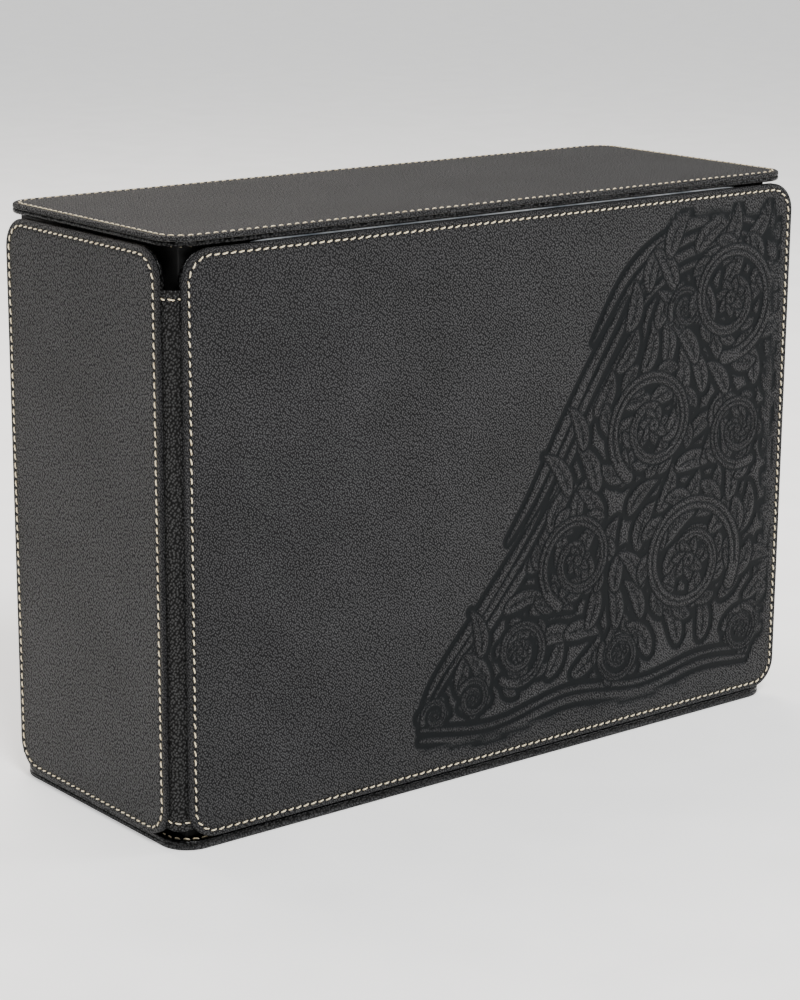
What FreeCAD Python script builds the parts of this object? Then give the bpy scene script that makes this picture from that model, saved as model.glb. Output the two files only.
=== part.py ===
"""Card storage box: a five-panel leatherette cover set round a lined inner box with three lift-out trays.

Millimetres.  The origin is the centre of the base panel's underside, +X runs along the box from the
hinged spine panel to the finger lips, -Y points out of the front cover and +Z points up.
"""
import FreeCAD, Part
import os
import re
import Sketcher
from FreeCAD import Placement, Rotation, Vector

doc = FreeCAD.newDocument("card_box")

# ---------------------------------------------------------------- driving dimensions
DIMENSIONS = [
    # the whole
    ("case_height", 226.0),
    ("lid_length", 306.0),
    ("lid_depth", 114.2),
    ("lid_middle", 1.8),
    # every cover panel is two wrapped layers sewn back to back
    ("layer", 1.9),
    ("skin", 0.5),
    ("corner", 12.0),
    ("stitch_inset", 2.5),
    ("thread_width", 0.75),
    ("thread_depth", 0.4),
    # upright panels: their seam planes, ends and heights
    ("cover_low", 4.2),
    ("cover_height", 217.2),
    ("cover_plane", 55.8),
    ("cover_left", -146.7),
    ("cover_right", 156.2),
    ("spine_plane", -151.3),
    ("spine_width", 102.4),
    # leatherette hinge strips at the two spine corners
    ("strip_thick", 0.8),
    ("strip_tongue", 8.0),
    ("strip_play", 0.2),
    ("strip_low", 8.2),
    ("strip_height", 199.2),
    # inner box
    ("box_length", 289.0),
    ("box_front", -51.7),
    ("box_back", 53.9),
    ("box_board", 2.0),
    ("box_cloth", 0.5),
    # lift-out trays
    ("tray_height", 70.4),
    ("tray_wall", 1.6),
    ("tray_play", 0.5),
    ("tray_felt", 0.6),
    ("divider_thick", 1.2),
    ("divider_height", 56.0),
    ("notch_width", 26.0),
    ("notch_depth", 15.0),
    # pad under the lid that drops into the mouth of the box
    ("pad_thick", 3.0),
    ("pad_cloth", 0.6),
    # magnets
    ("disc_radius", 5.0),
    ("disc_thick", 1.0),
    ("disc_inset", 24.0),
    ("disc_spacing", 122.0),
    ("bar_length", 16.0),
    ("bar_thick", 1.4),
    ("bar_height", 1.8),
    ("bar_spacing", 200.0),
    # clear pocket inside the front cover
    ("pocket_thick", 0.35),
    ("pocket_side", 9.5),
    ("pocket_low", 1.4),
    ("pocket_top", 0.4),
]

sheet = doc.addObject("Spreadsheet::Sheet", "dims")
for row, (alias, value) in enumerate(DIMENSIONS, start=1):
    sheet.set("A%d" % row, alias)
    sheet.set("B%d" % row, "%g" % value)
    sheet.setAlias("B%d" % row, alias)

# derived cells, so that every expression below stays short
DERIVED = [
    ("cover_length", "=cover_right - cover_left"),
    ("cover_middle", "=(cover_right + cover_left) / 2"),
    ("cover_centre", "=cover_low + cover_height / 2"),
    ("lid_seam", "=case_height - layer"),
    ("lid_under", "=case_height - 2 * layer"),
    ("base_top", "=2 * layer"),
    ("board", "=layer - skin"),
    ("box_wall", "=box_board + 2 * box_cloth"),
    ("box_depth", "=box_back - box_front"),
    ("box_height", "=lid_under - base_top"),
    ("mouth_length", "=box_length - 2 * box_wall"),
    ("mouth_front", "=box_front + box_wall"),
    ("mouth_back", "=box_back - box_wall"),
    ("mouth_floor", "=base_top + box_board + box_cloth"),
    ("tray_length", "=mouth_length - 2 * tray_play"),
    ("tray_front", "=mouth_front + tray_play"),
    ("tray_back", "=mouth_back - tray_play"),
    ("tray_depth", "=tray_back - tray_front"),
    ("bay_pitch", "=(tray_length - 2 * tray_wall + divider_thick) / 3"),
    ("pad_low", "=lid_under - pad_thick"),
    ("strip_setback", "=cover_plane - spine_width / 2"),
    ("strip_middle", "=strip_low + strip_height / 2 - cover_centre"),
]
for row, (alias, formula) in enumerate(DERIVED, start=len(DIMENSIONS) + 1):
    sheet.set("A%d" % row, alias)
    sheet.set("B%d" % row, formula)
    sheet.setAlias("B%d" % row, alias)
doc.recompute()

NAMES = {alias for alias, _ in DIMENSIONS + DERIVED}
PARTS = []


# ---------------------------------------------------------------- small helpers
def bound(expression):
    """An expression in the sheet's words, with each word pointing at the sheet."""
    return re.sub(r"[a-z]\w*", lambda m: "dims." + m[0] if m[0] in NAMES else m[0], str(expression))


def size(expression):
    """The present value of an expression in the sheet's words."""
    return float(sheet.evalExpression(bound(expression)))


def bind(obj, **expressions):
    """Bind properties of an object, such as Length or Placement_Base_x, to expressions."""
    for name, expression in expressions.items():
        obj.setExpression(name.replace("_", "."), bound(expression))


def place(obj, x="0", y="0", z="0", turn=Rotation()):
    """Turn an object and bind the place of its origin."""
    obj.Placement = Placement(Vector(size(x), size(y), size(z)), turn)
    bind(obj, Placement_Base_x=x, Placement_Base_y=y, Placement_Base_z=z)


def new_body(name):
    """An empty body, labelled with its name."""
    body = doc.addObject("PartDesign::Body", name)
    body.Label = name
    return body


def keep(obj):
    """Mark an object as a sub-part to be written to its own file."""
    PARTS.append(obj)
    return obj


def solid_box(body, kind, x, y, z, length, width, height):
    """Add or subtract a box whose low corner and sides are bound to expressions."""
    name = "%s_%s_%d" % (body.Name, kind.lower(), len(body.Group))
    box = body.newObject("PartDesign::%sBox" % kind, name)
    place(box, x, y, z)
    bind(box, Length=length, Width=width, Height=height)
    return box


def rounded_rectangle(sketch, tag, length, width, radius):
    """Draw one rounded rectangle about the sketch's origin, its three sizes bound to the sheet."""
    a, b, r = size(length) / 2, size(width) / 2, size(radius)
    first = sketch.GeometryCount
    quarter = FreeCAD.Units.Quantity("90 deg").getValueAs("rad").Value
    ends = [(-a + r, -b, a - r, -b), (a, -b + r, a, b - r), (a - r, b, -a + r, b), (-a, b - r, -a, -b + r)]
    centres = [(a - r, r - b), (a - r, b - r), (r - a, b - r), (r - a, r - b)]
    for side, (x0, y0, x1, y1) in enumerate(ends):
        sketch.addGeometry(Part.LineSegment(Vector(x0, y0, 0), Vector(x1, y1, 0)))
        circle = Part.Circle(Vector(*centres[side], 0), Vector(0, 0, 1), r)
        sketch.addGeometry(Part.ArcOfCircle(circle, (side - 1) * quarter, side * quarter))
    for step in range(8):
        sketch.addConstraint(
            Sketcher.Constraint("Tangent", first + step, 2, first + (step + 1) % 8, 1)
        )
    for step, rule in ((0, "Horizontal"), (4, "Horizontal"), (2, "Vertical"), (6, "Vertical")):
        sketch.addConstraint(Sketcher.Constraint(rule, first + step))
    for step in (3, 5, 7):
        sketch.addConstraint(Sketcher.Constraint("Equal", first + 1, first + step))
    sketch.addConstraint(Sketcher.Constraint("Symmetric", first, 1, first + 4, 1, -1, 1))
    sized = (
        ("length", Sketcher.Constraint("DistanceX", first + 6, 1, first + 2, 1, 2 * a), length),
        ("width", Sketcher.Constraint("DistanceY", first, 1, first + 4, 1, 2 * b), width),
        ("radius", Sketcher.Constraint("Radius", first + 1, r), radius),
    )
    for word, constraint, expression in sized:
        number = sketch.addConstraint(constraint)
        sketch.renameConstraint(number, tag + "_" + word)
        sketch.setExpression("Constraints.%s_%s" % (tag, word), bound(expression))


def plane_sketch(body, name, height="0"):
    """A sketch on the body's own XY plane, lifted by an expression."""
    sketch = body.newObject("Sketcher::SketchObject", name)
    plane = [f for f in body.Origin.OriginFeatures if f.Role == "XY_Plane"]
    sketch.AttachmentSupport = [(plane[0], "")]
    sketch.MapMode = "FlatFace"
    sketch.AttachmentOffset = Placement(Vector(0, 0, size(height)), Rotation())
    sketch.setExpression("AttachmentOffset.Base.z", bound(height))
    return sketch


def pad(body, sketch, depth, downwards=False):
    """Pad a sketch up, or down, by a bound depth."""
    feature = body.newObject("PartDesign::Pad", sketch.Name + "_pad")
    feature.Profile = sketch
    feature.Reversed = downwards
    bind(feature, Length=depth)
    return feature


def pocket(body, sketch, depth, upwards=False):
    """Pocket a sketch down into the body, or up, by a bound depth; it has to remove something."""
    doc.recompute()
    before = body.Shape.Volume
    feature = body.newObject("PartDesign::Pocket", sketch.Name + "_pocket")
    feature.Profile = sketch
    feature.Reversed = upwards
    bind(feature, Length=depth)
    doc.recompute()
    if body.Shape.Volume > before - 1e-3:
        raise ValueError(sketch.Name + " removes nothing")
    return feature


def group(name, members):
    """Several alike solids under one name."""
    compound = doc.addObject("Part::Compound", name)
    compound.Label = name
    compound.Links = members
    return keep(compound)


# ---------------------------------------------------------------- wrapped cover panels
class Panel:
    """One cover panel: two boards, each wrapped in a skin, and the thread that sews them together.

    It is modelled about its own centre, with the seam plane at z = 0 and the outer face up.
    """

    def __init__(self, name, length, width, at, turn):
        self.name, self.length, self.width, self.at, self.turn = name, length, width, at, turn

    def put(self, obj):
        """Stand a finished piece where the panel is."""
        place(obj, *self.at, turn=self.turn)

    def slab(self, name, sink, low, depth, radius):
        """A rounded slab, smaller than the panel by sink all round."""
        body = new_body(name)
        sketch = plane_sketch(body, name + "_outline", low)
        rounded_rectangle(
            sketch, "edge", "%s - 2 * %s" % (self.length, sink), "%s - 2 * %s" % (self.width, sink), radius
        )
        pad(body, sketch, depth)
        return body

    def stitch_ring(self, body, name, height):
        """The outline of the groove, or of the thread, that runs round the panel."""
        sketch = plane_sketch(body, name, height)
        for tag, side in (("outside", "-"), ("inside", "+")):
            inset = "(stitch_inset %s thread_width / 2)" % side
            rounded_rectangle(
                sketch,
                tag,
                "%s - 2 * %s" % (self.length, inset),
                "%s - 2 * %s" % (self.width, inset),
                "corner - %s" % inset,
            )
        return sketch

    def skin(self, side):
        """The leatherette of one layer: a shallow dish whose rim turns in over the board's edge."""
        outer = side == "outer"
        name = "%s_%s_skin" % (self.name, side)
        body = self.slab(name, "0", "0" if outer else "-layer", "layer", "corner")
        seat = plane_sketch(body, name + "_seat")
        rounded_rectangle(
            seat, "seat", self.length + " - 2 * skin", self.width + " - 2 * skin", "corner - skin"
        )
        pocket(body, seat, "board", upwards=outer)
        groove = self.stitch_ring(body, name + "_groove", "layer" if outer else "-layer")
        pocket(body, groove, "thread_depth", upwards=not outer)
        return body

    def board_of(self, side):
        """The grey board inside one layer."""
        name = "%s_%s_board" % (self.name, side)
        return self.slab(name, "skin", "0" if side == "outer" else "-board", "board", "corner - skin")

    def tongue_slot(self, body, end):
        """Clear the seam face of the inner layer where a hinge strip's tongue is glued in."""
        reach = "(strip_tongue + strip_play)"
        start = "%s / 2 - %s" % (self.length, reach) if end > 0 else "-%s / 2" % self.length
        low = "strip_middle - strip_height / 2 - strip_play"
        solid_box(
            body, "Subtractive", start, low, "-strip_thick", reach, "strip_height + 2 * strip_play", "strip_thick"
        )

    def build(self, slots=()):
        """Make the panel's five sub-parts; slots lists the ends, +1 or -1, that hold a hinge strip."""
        made = {}
        for side in ("outer", "inner"):
            made[side + "_skin"] = self.skin(side)
            made[side + "_board"] = self.board_of(side)
        for end in slots:
            self.tongue_slot(made["inner_skin"], end)
            self.tongue_slot(made["inner_board"], end)
        loops = []
        for side, height in (("outer", "layer - thread_depth"), ("inner", "-layer")):
            name = "%s_%s_thread" % (self.name, side)
            body = new_body(name)
            pad(body, self.stitch_ring(body, name + "_ring", height), "thread_depth")
            loops.append(body)
            self.put(body)
        for body in made.values():
            self.put(body)
            keep(body)
        group(self.name + "_stitching", loops)
        return made


FLAT_UP = Rotation()
FLAT_DOWN = Rotation(0, 0, 180)
FACES_FRONT = Rotation(0, 0, 90)
FACES_BACK = Rotation(180, 0, 90)
FACES_LEFT = Rotation(-90, 0, 90)

base = Panel("base", "lid_length", "lid_depth", ("lid_middle", "0", "layer"), FLAT_DOWN)
lid = Panel("lid", "lid_length", "lid_depth", ("lid_middle", "0", "lid_seam"), FLAT_UP)
front = Panel(
    "front_cover", "cover_length", "cover_height", ("cover_middle", "-cover_plane", "cover_centre"), FACES_FRONT
)
back = Panel(
    "back_cover", "cover_length", "cover_height", ("cover_middle", "cover_plane", "cover_centre"), FACES_BACK
)
spine = Panel("spine", "spine_width", "cover_height", ("spine_plane", "0", "cover_centre"), FACES_LEFT)

base.build()
lid.build()
front_pieces = front.build(slots=(-1,))
back.build(slots=(1,))
spine.build(slots=(-1, 1))


# ---------------------------------------------------------------- hinge strips
def hinge_strip(name, side):
    """A strip bent a quarter turn round a spine corner, with a flat tongue into each panel.

    side is -1 for the front corner and +1 for the back one.  Drawn about the centre of its bend.
    """
    body = new_body(name)
    sketch = plane_sketch(body, name + "_section")
    outer, inner, tongue = size("strip_setback"), size("strip_setback - strip_thick"), size("strip_tongue")
    quarter = FreeCAD.Units.Quantity("90 deg").getValueAs("rad").Value
    start = 2 * quarter if side < 0 else quarter
    arcs = [
        Part.ArcOfCircle(Part.Circle(Vector(), Vector(0, 0, 1), r), start, start + quarter)
        for r in (outer, inner)
    ]
    far, near = sketch.addGeometry(arcs[0]), sketch.addGeometry(arcs[1])
    # one tongue runs along X beside a cover, the other along Y inside the spine
    along_x, along_y = (2, 1) if side < 0 else (1, 2)

    def tongue_lines(end, dx, dy):
        """Three lines round the tongue that starts at one end of the bend."""
        p = [arc.StartPoint if end == 1 else arc.EndPoint for arc in arcs]
        q = [point + Vector(dx, dy, 0) for point in p]
        made = [
            sketch.addGeometry(Part.LineSegment(a, b)) for a, b in ((p[0], q[0]), (q[0], q[1]), (q[1], p[1]))
        ]
        for one, two in ((0, 1), (1, 2)):
            sketch.addConstraint(Sketcher.Constraint("Coincident", made[one], 2, made[two], 1))
        sketch.addConstraint(Sketcher.Constraint("Tangent", far, end, made[0], 1))
        sketch.addConstraint(Sketcher.Constraint("Tangent", near, end, made[2], 2))
        sketch.addConstraint(Sketcher.Constraint("Perpendicular", made[1], made[0]))
        return made

    sketch.addConstraint(Sketcher.Constraint("Coincident", far, 3, -1, 1))
    sketch.addConstraint(Sketcher.Constraint("Coincident", near, 3, -1, 1))
    on_cover = tongue_lines(along_x, tongue, 0)
    in_spine = tongue_lines(along_y, 0, -side * tongue)
    sketch.addConstraint(Sketcher.Constraint("Horizontal", on_cover[0]))
    sketch.addConstraint(Sketcher.Constraint("Vertical", in_spine[0]))
    sized = (
        ("outer_radius", Sketcher.Constraint("Radius", far, outer), "strip_setback"),
        ("inner_radius", Sketcher.Constraint("Radius", near, inner), "strip_setback - strip_thick"),
        ("cover_tongue", Sketcher.Constraint("Distance", on_cover[0], tongue), "strip_tongue"),
        ("spine_tongue", Sketcher.Constraint("Distance", in_spine[0], tongue), "strip_tongue"),
    )
    for word, constraint, expression in sized:
        number = sketch.addConstraint(constraint)
        sketch.renameConstraint(number, word)
        sketch.setExpression("Constraints." + word, bound(expression))
    pad(body, sketch, "strip_height")
    place(body, "cover_left", "%d * spine_width / 2" % side, "strip_low")
    return keep(body)


hinge_strip("front_hinge_strip", -1)
hinge_strip("back_hinge_strip", 1)


# ---------------------------------------------------------------- inner box
def plain_board(name, x, y, z, length, width, height):
    """A flat board whose low corner and sides are bound to expressions."""
    body = new_body(name)
    solid_box(body, "Additive", x, y, z, length, width, height)
    return keep(body)


RIM = "lid_under - box_cloth"
BOARD_HEIGHT = "box_height - box_cloth"
box_front_board = plain_board(
    "box_front_board",
    "box_cloth - box_length / 2",
    "box_front + box_cloth",
    "base_top",
    "box_length - 2 * box_cloth",
    "box_board",
    BOARD_HEIGHT,
)
box_back_board = plain_board(
    "box_back_board",
    "box_cloth - box_length / 2",
    "box_back - box_cloth - box_board",
    "base_top",
    "box_length - 2 * box_cloth",
    "box_board",
    BOARD_HEIGHT,
)
SIDE_DEPTH = "box_depth - 2 * box_cloth - 2 * box_board"
for end_name, low in (
    ("left", "box_cloth - box_length / 2"),
    ("right", "box_length / 2 - box_cloth - box_board"),
):
    plain_board(
        "box_%s_board" % end_name,
        low,
        "box_front + box_cloth + box_board",
        "base_top",
        "box_board",
        SIDE_DEPTH,
        BOARD_HEIGHT,
    )
plain_board(
    "box_floor_board",
    "box_cloth + box_board - box_length / 2",
    "box_front + box_cloth + box_board",
    "base_top",
    "box_length - 2 * box_cloth - 2 * box_board",
    SIDE_DEPTH,
    "box_board",
)

box_wrap = keep(new_body("box_wrap"))
solid_box(
    box_wrap, "Additive", "-box_length / 2", "box_front", "base_top", "box_length", "box_depth", "box_height"
)
solid_box(
    box_wrap,
    "Subtractive",
    "box_cloth - box_length / 2",
    "box_front + box_cloth",
    "base_top",
    "box_length - 2 * box_cloth",
    "box_depth - 2 * box_cloth",
    BOARD_HEIGHT,
)
solid_box(
    box_wrap,
    "Subtractive",
    "-mouth_length / 2",
    "mouth_front",
    "base_top",
    "mouth_length",
    "mouth_back - mouth_front",
    "box_height",
)

box_lining = keep(new_body("box_lining"))
solid_box(
    box_lining,
    "Additive",
    "-mouth_length / 2 - box_cloth",
    "mouth_front - box_cloth",
    "base_top + box_board",
    "mouth_length + 2 * box_cloth",
    "mouth_back - mouth_front + 2 * box_cloth",
    "box_height - box_board - box_cloth",
)
solid_box(
    box_lining,
    "Subtractive",
    "-mouth_length / 2",
    "mouth_front",
    "mouth_floor",
    "mouth_length",
    "mouth_back - mouth_front",
    "box_height",
)


# ---------------------------------------------------------------- pad under the lid
PAD_BOX = ("-tray_length / 2", "tray_front", "pad_low", "tray_length", "tray_depth", "pad_thick")
PAD_CORE = (
    "pad_cloth - tray_length / 2",
    "tray_front + pad_cloth",
    "pad_low + pad_cloth",
    "tray_length - 2 * pad_cloth",
    "tray_depth - 2 * pad_cloth",
    "pad_thick - pad_cloth",
)
lid_pad_cover = keep(new_body("lid_pad_cover"))
solid_box(lid_pad_cover, "Additive", *PAD_BOX)
solid_box(lid_pad_cover, "Subtractive", *PAD_CORE)
lid_pad_board = keep(new_body("lid_pad_board"))
solid_box(lid_pad_board, "Additive", *PAD_CORE)


# ---------------------------------------------------------------- magnets
def bar_magnets(name, rows, low, holders):
    """Four bar magnets, two in each row, let into the boards that hold them.

    rows gives the low Y side of each row; holders gives the body that each row is let into.
    """
    members = []
    for row, (side, holder) in enumerate(zip(rows, holders)):
        for end in (-1, 1):
            start = "%d * bar_spacing / 2 - bar_length / 2" % end
            magnet = doc.addObject("Part::Box", "%s_%d_%d" % (name, row, end + 1))
            place(magnet, start, side, low)
            bind(magnet, Length="bar_length", Width="bar_thick", Height="bar_height")
            solid_box(holder, "Subtractive", start, side, low, "bar_length", "bar_thick", "bar_height")
            members.append(magnet)
    return group(name, members)


def disc_magnets(name, face, holder, holder_at):
    """Two disc magnets facing the front, near the free end of the front cover.

    face is the Y of their back face; holder_at gives the holder's own coordinates of a point
    (x, z) on that face, because the cover's board is modelled lying down.
    """
    members = []
    for end in (-1, 1):
        x, z = "box_length / 2 - disc_inset", "cover_centre + %d * disc_spacing / 2" % end
        magnet = doc.addObject("Part::Cylinder", "%s_%d" % (name, end + 1))
        place(magnet, x, face, z, FACES_FRONT)
        bind(magnet, Radius="disc_radius", Height="disc_thick")
        seat = holder.newObject("PartDesign::SubtractiveCylinder", "%s_seat_%d" % (name, end + 1))
        place(seat, *holder_at(x, z), turn=FACES_FRONT if holder is box_front_board else FLAT_UP)
        bind(seat, Radius="disc_radius", Height="disc_thick")
        members.append(magnet)
    return group(name, members)


PAD_MAGNET_ROWS = ("tray_front + pad_cloth", "tray_back - pad_cloth - bar_thick")
WALL_MAGNET_ROWS = ("mouth_front - box_cloth - bar_thick", "mouth_back + box_cloth")
bar_magnets("lid_magnets", PAD_MAGNET_ROWS, "pad_low + pad_cloth", (lid_pad_board, lid_pad_board))
bar_magnets("box_rim_magnets", WALL_MAGNET_ROWS, "pad_low + pad_cloth", (box_front_board, box_back_board))
WALL_DISC_FACE = "box_front + box_cloth + disc_thick"
disc_magnets("box_front_magnets", WALL_DISC_FACE, box_front_board, lambda x, z: (x, WALL_DISC_FACE, z))
COVER_DISC_FACE = "board - cover_plane"
disc_magnets(
    "front_cover_magnets",
    COVER_DISC_FACE,
    front_pieces["inner_board"],
    lambda x, z: (x + " - cover_middle", z + " - cover_centre", "-board"),
)

# ---------------------------------------------------------------- clear pocket in the front cover
plain_board(
    "front_clear_pocket",
    "cover_left + pocket_side",
    "layer - cover_plane",
    "cover_low + pocket_low",
    "cover_length - 2 * pocket_side",
    "pocket_thick",
    "cover_height - pocket_low - pocket_top",
)


# ---------------------------------------------------------------- lift-out trays
def tray(name, level):
    """One tray, open at the top, with a felt floor and two dividers; level counts from the floor."""
    low = "(mouth_floor + %d * tray_height)" % level
    shell = keep(new_body(name + "_shell"))
    solid_box(
        shell, "Additive", "-tray_length / 2", "tray_front", low, "tray_length", "tray_depth", "tray_height"
    )
    solid_box(
        shell,
        "Subtractive",
        "tray_wall - tray_length / 2",
        "tray_front + tray_wall",
        low + " + tray_wall",
        "tray_length - 2 * tray_wall",
        "tray_depth - 2 * tray_wall",
        "tray_height",
    )
    # a finger notch in the rim of each end
    for end in (-1, 1):
        solid_box(
            shell,
            "Subtractive",
            "%d * tray_length / 2 - tray_wall" % end,
            "(tray_front + tray_back - notch_width) / 2",
            low + " + tray_height - notch_depth",
            "2 * tray_wall",
            "notch_width",
            "notch_depth",
        )
    felt = keep(new_body(name + "_felt"))
    solid_box(
        felt,
        "Additive",
        "tray_wall - tray_length / 2",
        "tray_front + tray_wall",
        low + " + tray_wall",
        "tray_length - 2 * tray_wall",
        "tray_depth - 2 * tray_wall",
        "tray_felt",
    )
    dividers = []
    for end in (-1, 1):
        divider = doc.addObject("Part::Box", "%s_divider_%d" % (name, end + 1))
        place(
            divider,
            "%d * bay_pitch / 2 - divider_thick / 2" % end,
            "tray_front + tray_wall",
            low + " + tray_wall + tray_felt",
        )
        bind(divider, Length="divider_thick", Width="tray_depth - 2 * tray_wall", Height="divider_height")
        dividers.append(divider)
    group(name + "_dividers", dividers)


for level, tray_name in enumerate(("lower_tray", "middle_tray", "top_tray")):
    tray(tray_name, level)


# ---------------------------------------------------------------- checks and files
doc.recompute()
for obj in doc.Objects:
    if "Invalid" in obj.State or "Error" in obj.State:
        raise ValueError("%s did not rebuild: %s" % (obj.Name, obj.State))
for obj in PARTS:
    if obj.Shape.isNull() or not obj.Shape.isValid():
        raise ValueError(obj.Name + " has no valid shape")

os.makedirs("parts", exist_ok=True)
for obj in PARTS:
    obj.Shape.exportStep("parts/%s.step" % obj.Label)
print("%d sub-parts written" % len(PARTS))
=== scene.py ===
"""Leatherette card storage box with hinged stitched covers, a lined inner box and lift-out trays.

Every length below is in millimetres unless a name ends in _m; meshes are written in metres.
"""
from __future__ import annotations

import logging
import math
from dataclasses import dataclass, field
from enum import Enum
from typing import Callable, Iterable, Sequence

import bmesh
import bpy
import numpy as np
from mathutils import Matrix, Vector


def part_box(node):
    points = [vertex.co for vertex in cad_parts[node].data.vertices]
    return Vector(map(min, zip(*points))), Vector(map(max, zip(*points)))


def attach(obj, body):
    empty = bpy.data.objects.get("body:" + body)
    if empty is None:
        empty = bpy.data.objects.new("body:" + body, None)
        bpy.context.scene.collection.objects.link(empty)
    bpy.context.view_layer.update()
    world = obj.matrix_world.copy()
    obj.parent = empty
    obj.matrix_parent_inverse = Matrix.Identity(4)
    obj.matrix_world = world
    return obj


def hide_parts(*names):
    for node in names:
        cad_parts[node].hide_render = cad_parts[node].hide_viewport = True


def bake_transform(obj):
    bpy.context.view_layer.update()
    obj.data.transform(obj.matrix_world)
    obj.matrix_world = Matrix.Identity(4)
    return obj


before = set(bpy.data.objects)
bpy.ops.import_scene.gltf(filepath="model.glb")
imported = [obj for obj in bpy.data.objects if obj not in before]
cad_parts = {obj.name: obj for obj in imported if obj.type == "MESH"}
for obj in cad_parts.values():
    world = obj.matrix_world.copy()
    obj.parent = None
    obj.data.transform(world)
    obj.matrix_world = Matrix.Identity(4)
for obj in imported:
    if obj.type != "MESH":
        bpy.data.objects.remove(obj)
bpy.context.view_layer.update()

LOG = logging.getLogger("card_box")
MM = 0.001
SEED = 7
# the thread, alike in every seam: how deep a stitch's ends sink, how square its arch is, how far its
# two plies stand out and twist along one stitch, and how flat the machine's foot has pressed it
STITCH_ROOT = 0.34
STITCH_ARCH = 3.2
PLY_SWELL = 0.12
PLY_TWIST = 2.6 * math.pi
THREAD_SQUASH = 0.86
# a ring further in than this that is not on the face lies on the leatherette turned in behind it
TURN_IN = 2.9


# ------------------------------------------------------------------ shared helpers
def linear(hex_colour: str) -> tuple[float, float, float, float]:
    """Turn an sRGB hex colour into linear RGBA.

    Args:
        hex_colour: six hex digits, with or without a leading #.

    Returns:
        The four linear channels, alpha 1.
    """
    digits = hex_colour.lstrip("#")
    channels = [int(digits[i : i + 2], 16) / 255 for i in (0, 2, 4)]
    bent = [c / 12.92 if c <= 0.04045 else ((c + 0.055) / 1.055) ** 2.4 for c in channels]
    return (*bent, 1.0)


def add_node(
    tree: bpy.types.NodeTree, kind: str, settings: dict | None = None, links: dict | None = None
) -> bpy.types.Node:
    """Add one node with its settings and its incoming links.

    Args:
        tree: the material's node tree.
        kind: the node's type name, without the ShaderNode prefix.
        settings: attribute names, or input names or numbers, mapped to values.
        links: input names or numbers mapped to output sockets.

    Returns:
        The new node.
    """
    node = tree.nodes.new("ShaderNode" + kind)
    for name, value in (settings or {}).items():
        if isinstance(name, str) and hasattr(node, name):
            setattr(node, name, value)
        else:
            node.inputs[name].default_value = value
    for name, socket in (links or {}).items():
        tree.links.new(socket, node.inputs[name])
    return node


def per_metre(spacing_mm: float) -> float:
    """The texture scale that repeats a pattern at a real spacing, for coordinates in metres."""
    return 1.0 / (spacing_mm * MM)


def new_material(name: str) -> tuple[bpy.types.Material, bpy.types.NodeTree, bpy.types.Node]:
    """Start an empty node material.

    Args:
        name: the finish's name.

    Returns:
        The material, its tree and its output node.
    """
    material = bpy.data.materials.new(name)
    material.use_nodes = True
    material.node_tree.nodes.clear()
    return material, material.node_tree, add_node(material.node_tree, "OutputMaterial")


def ramp(
    tree: bpy.types.NodeTree, source: bpy.types.NodeSocket, stops: Sequence[tuple[float, str]]
) -> bpy.types.Node:
    """A colour ramp through hex colours.

    Args:
        tree: the material's node tree.
        source: the value that drives the ramp.
        stops: positions and their sRGB hex colours.

    Returns:
        The ramp node.
    """
    node = add_node(tree, "ValToRGB", links={"Fac": source})
    elements = node.color_ramp.elements
    while len(elements) < len(stops):
        elements.new(0.5)
    for element, (position, colour) in zip(elements, stops):
        element.position = position
        element.color = linear(colour)
    return node


def mesh_object(
    name: str, points_mm: np.ndarray, faces: Iterable[Sequence[int]], smooth: bool = True
) -> bpy.types.Object:
    """Make a mesh object in the scene from points in millimetres.

    Args:
        name: the piece's name.
        points_mm: an array of points, one row each.
        faces: vertex numbers of each face.
        smooth: whether the faces are shaded smooth.

    Returns:
        The new object.
    """
    mesh = bpy.data.meshes.new(name)
    mesh.from_pydata((np.asarray(points_mm, float) * MM).tolist(), [], [tuple(f) for f in faces])
    mesh.update()
    mesh.shade_smooth() if smooth else mesh.shade_flat()
    piece = bpy.data.objects.new(name, mesh)
    bpy.context.scene.collection.objects.link(piece)
    return piece


def finish_piece(
    piece: bpy.types.Object,
    body: str,
    finishes: Sequence[bpy.types.Material],
    nodes: Sequence[str],
) -> None:
    """Dress a new piece, stand it in for its CAD nodes and let it ride on its body.

    Args:
        piece: the object.
        body: the moving body it belongs to.
        finishes: its materials, first the main one.
        nodes: the CAD nodes that it replaces.
    """
    for material in finishes:
        piece.data.materials.append(material)
    if nodes:
        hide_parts(*nodes)
    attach(piece, body)
    LOG.info("made %s on %s", piece.name, body)


def mark_sheet(
    piece: bpy.types.Object, pressed: np.ndarray, laid_out: np.ndarray | None = None
) -> None:
    """Store what the finishes read from a mesh.

    Args:
        piece: the object.
        pressed: 0 to 1 at each point; the finishes darken where it is high, for stamped leather and, as
            painted shade, for needle holes and the thread's ends.
        laid_out: each point's place on the flat sheet, in millimetres, where the finish needs it.
    """
    layer = piece.data.attributes.new("pressed", "FLOAT", "POINT")
    layer.data.foreach_set("value", pressed.astype(np.float32))
    if laid_out is not None:
        flat = np.column_stack([laid_out * MM, np.zeros(len(laid_out))]).astype(np.float32)
        place = piece.data.attributes.new("laid_out", "FLOAT_VECTOR", "POINT")
        place.data.foreach_set("vector", flat.ravel())


def box_mm(*nodes: str) -> tuple[np.ndarray, np.ndarray]:
    """The box round some CAD nodes.

    Args:
        nodes: the nodes' names.

    Returns:
        Its low and high corners, in millimetres.
    """
    corners = [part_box(node) for node in nodes]
    low = np.min([np.array(c[0]) for c in corners], axis=0)
    high = np.max([np.array(c[1]) for c in corners], axis=0)
    return low / MM, high / MM


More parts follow.
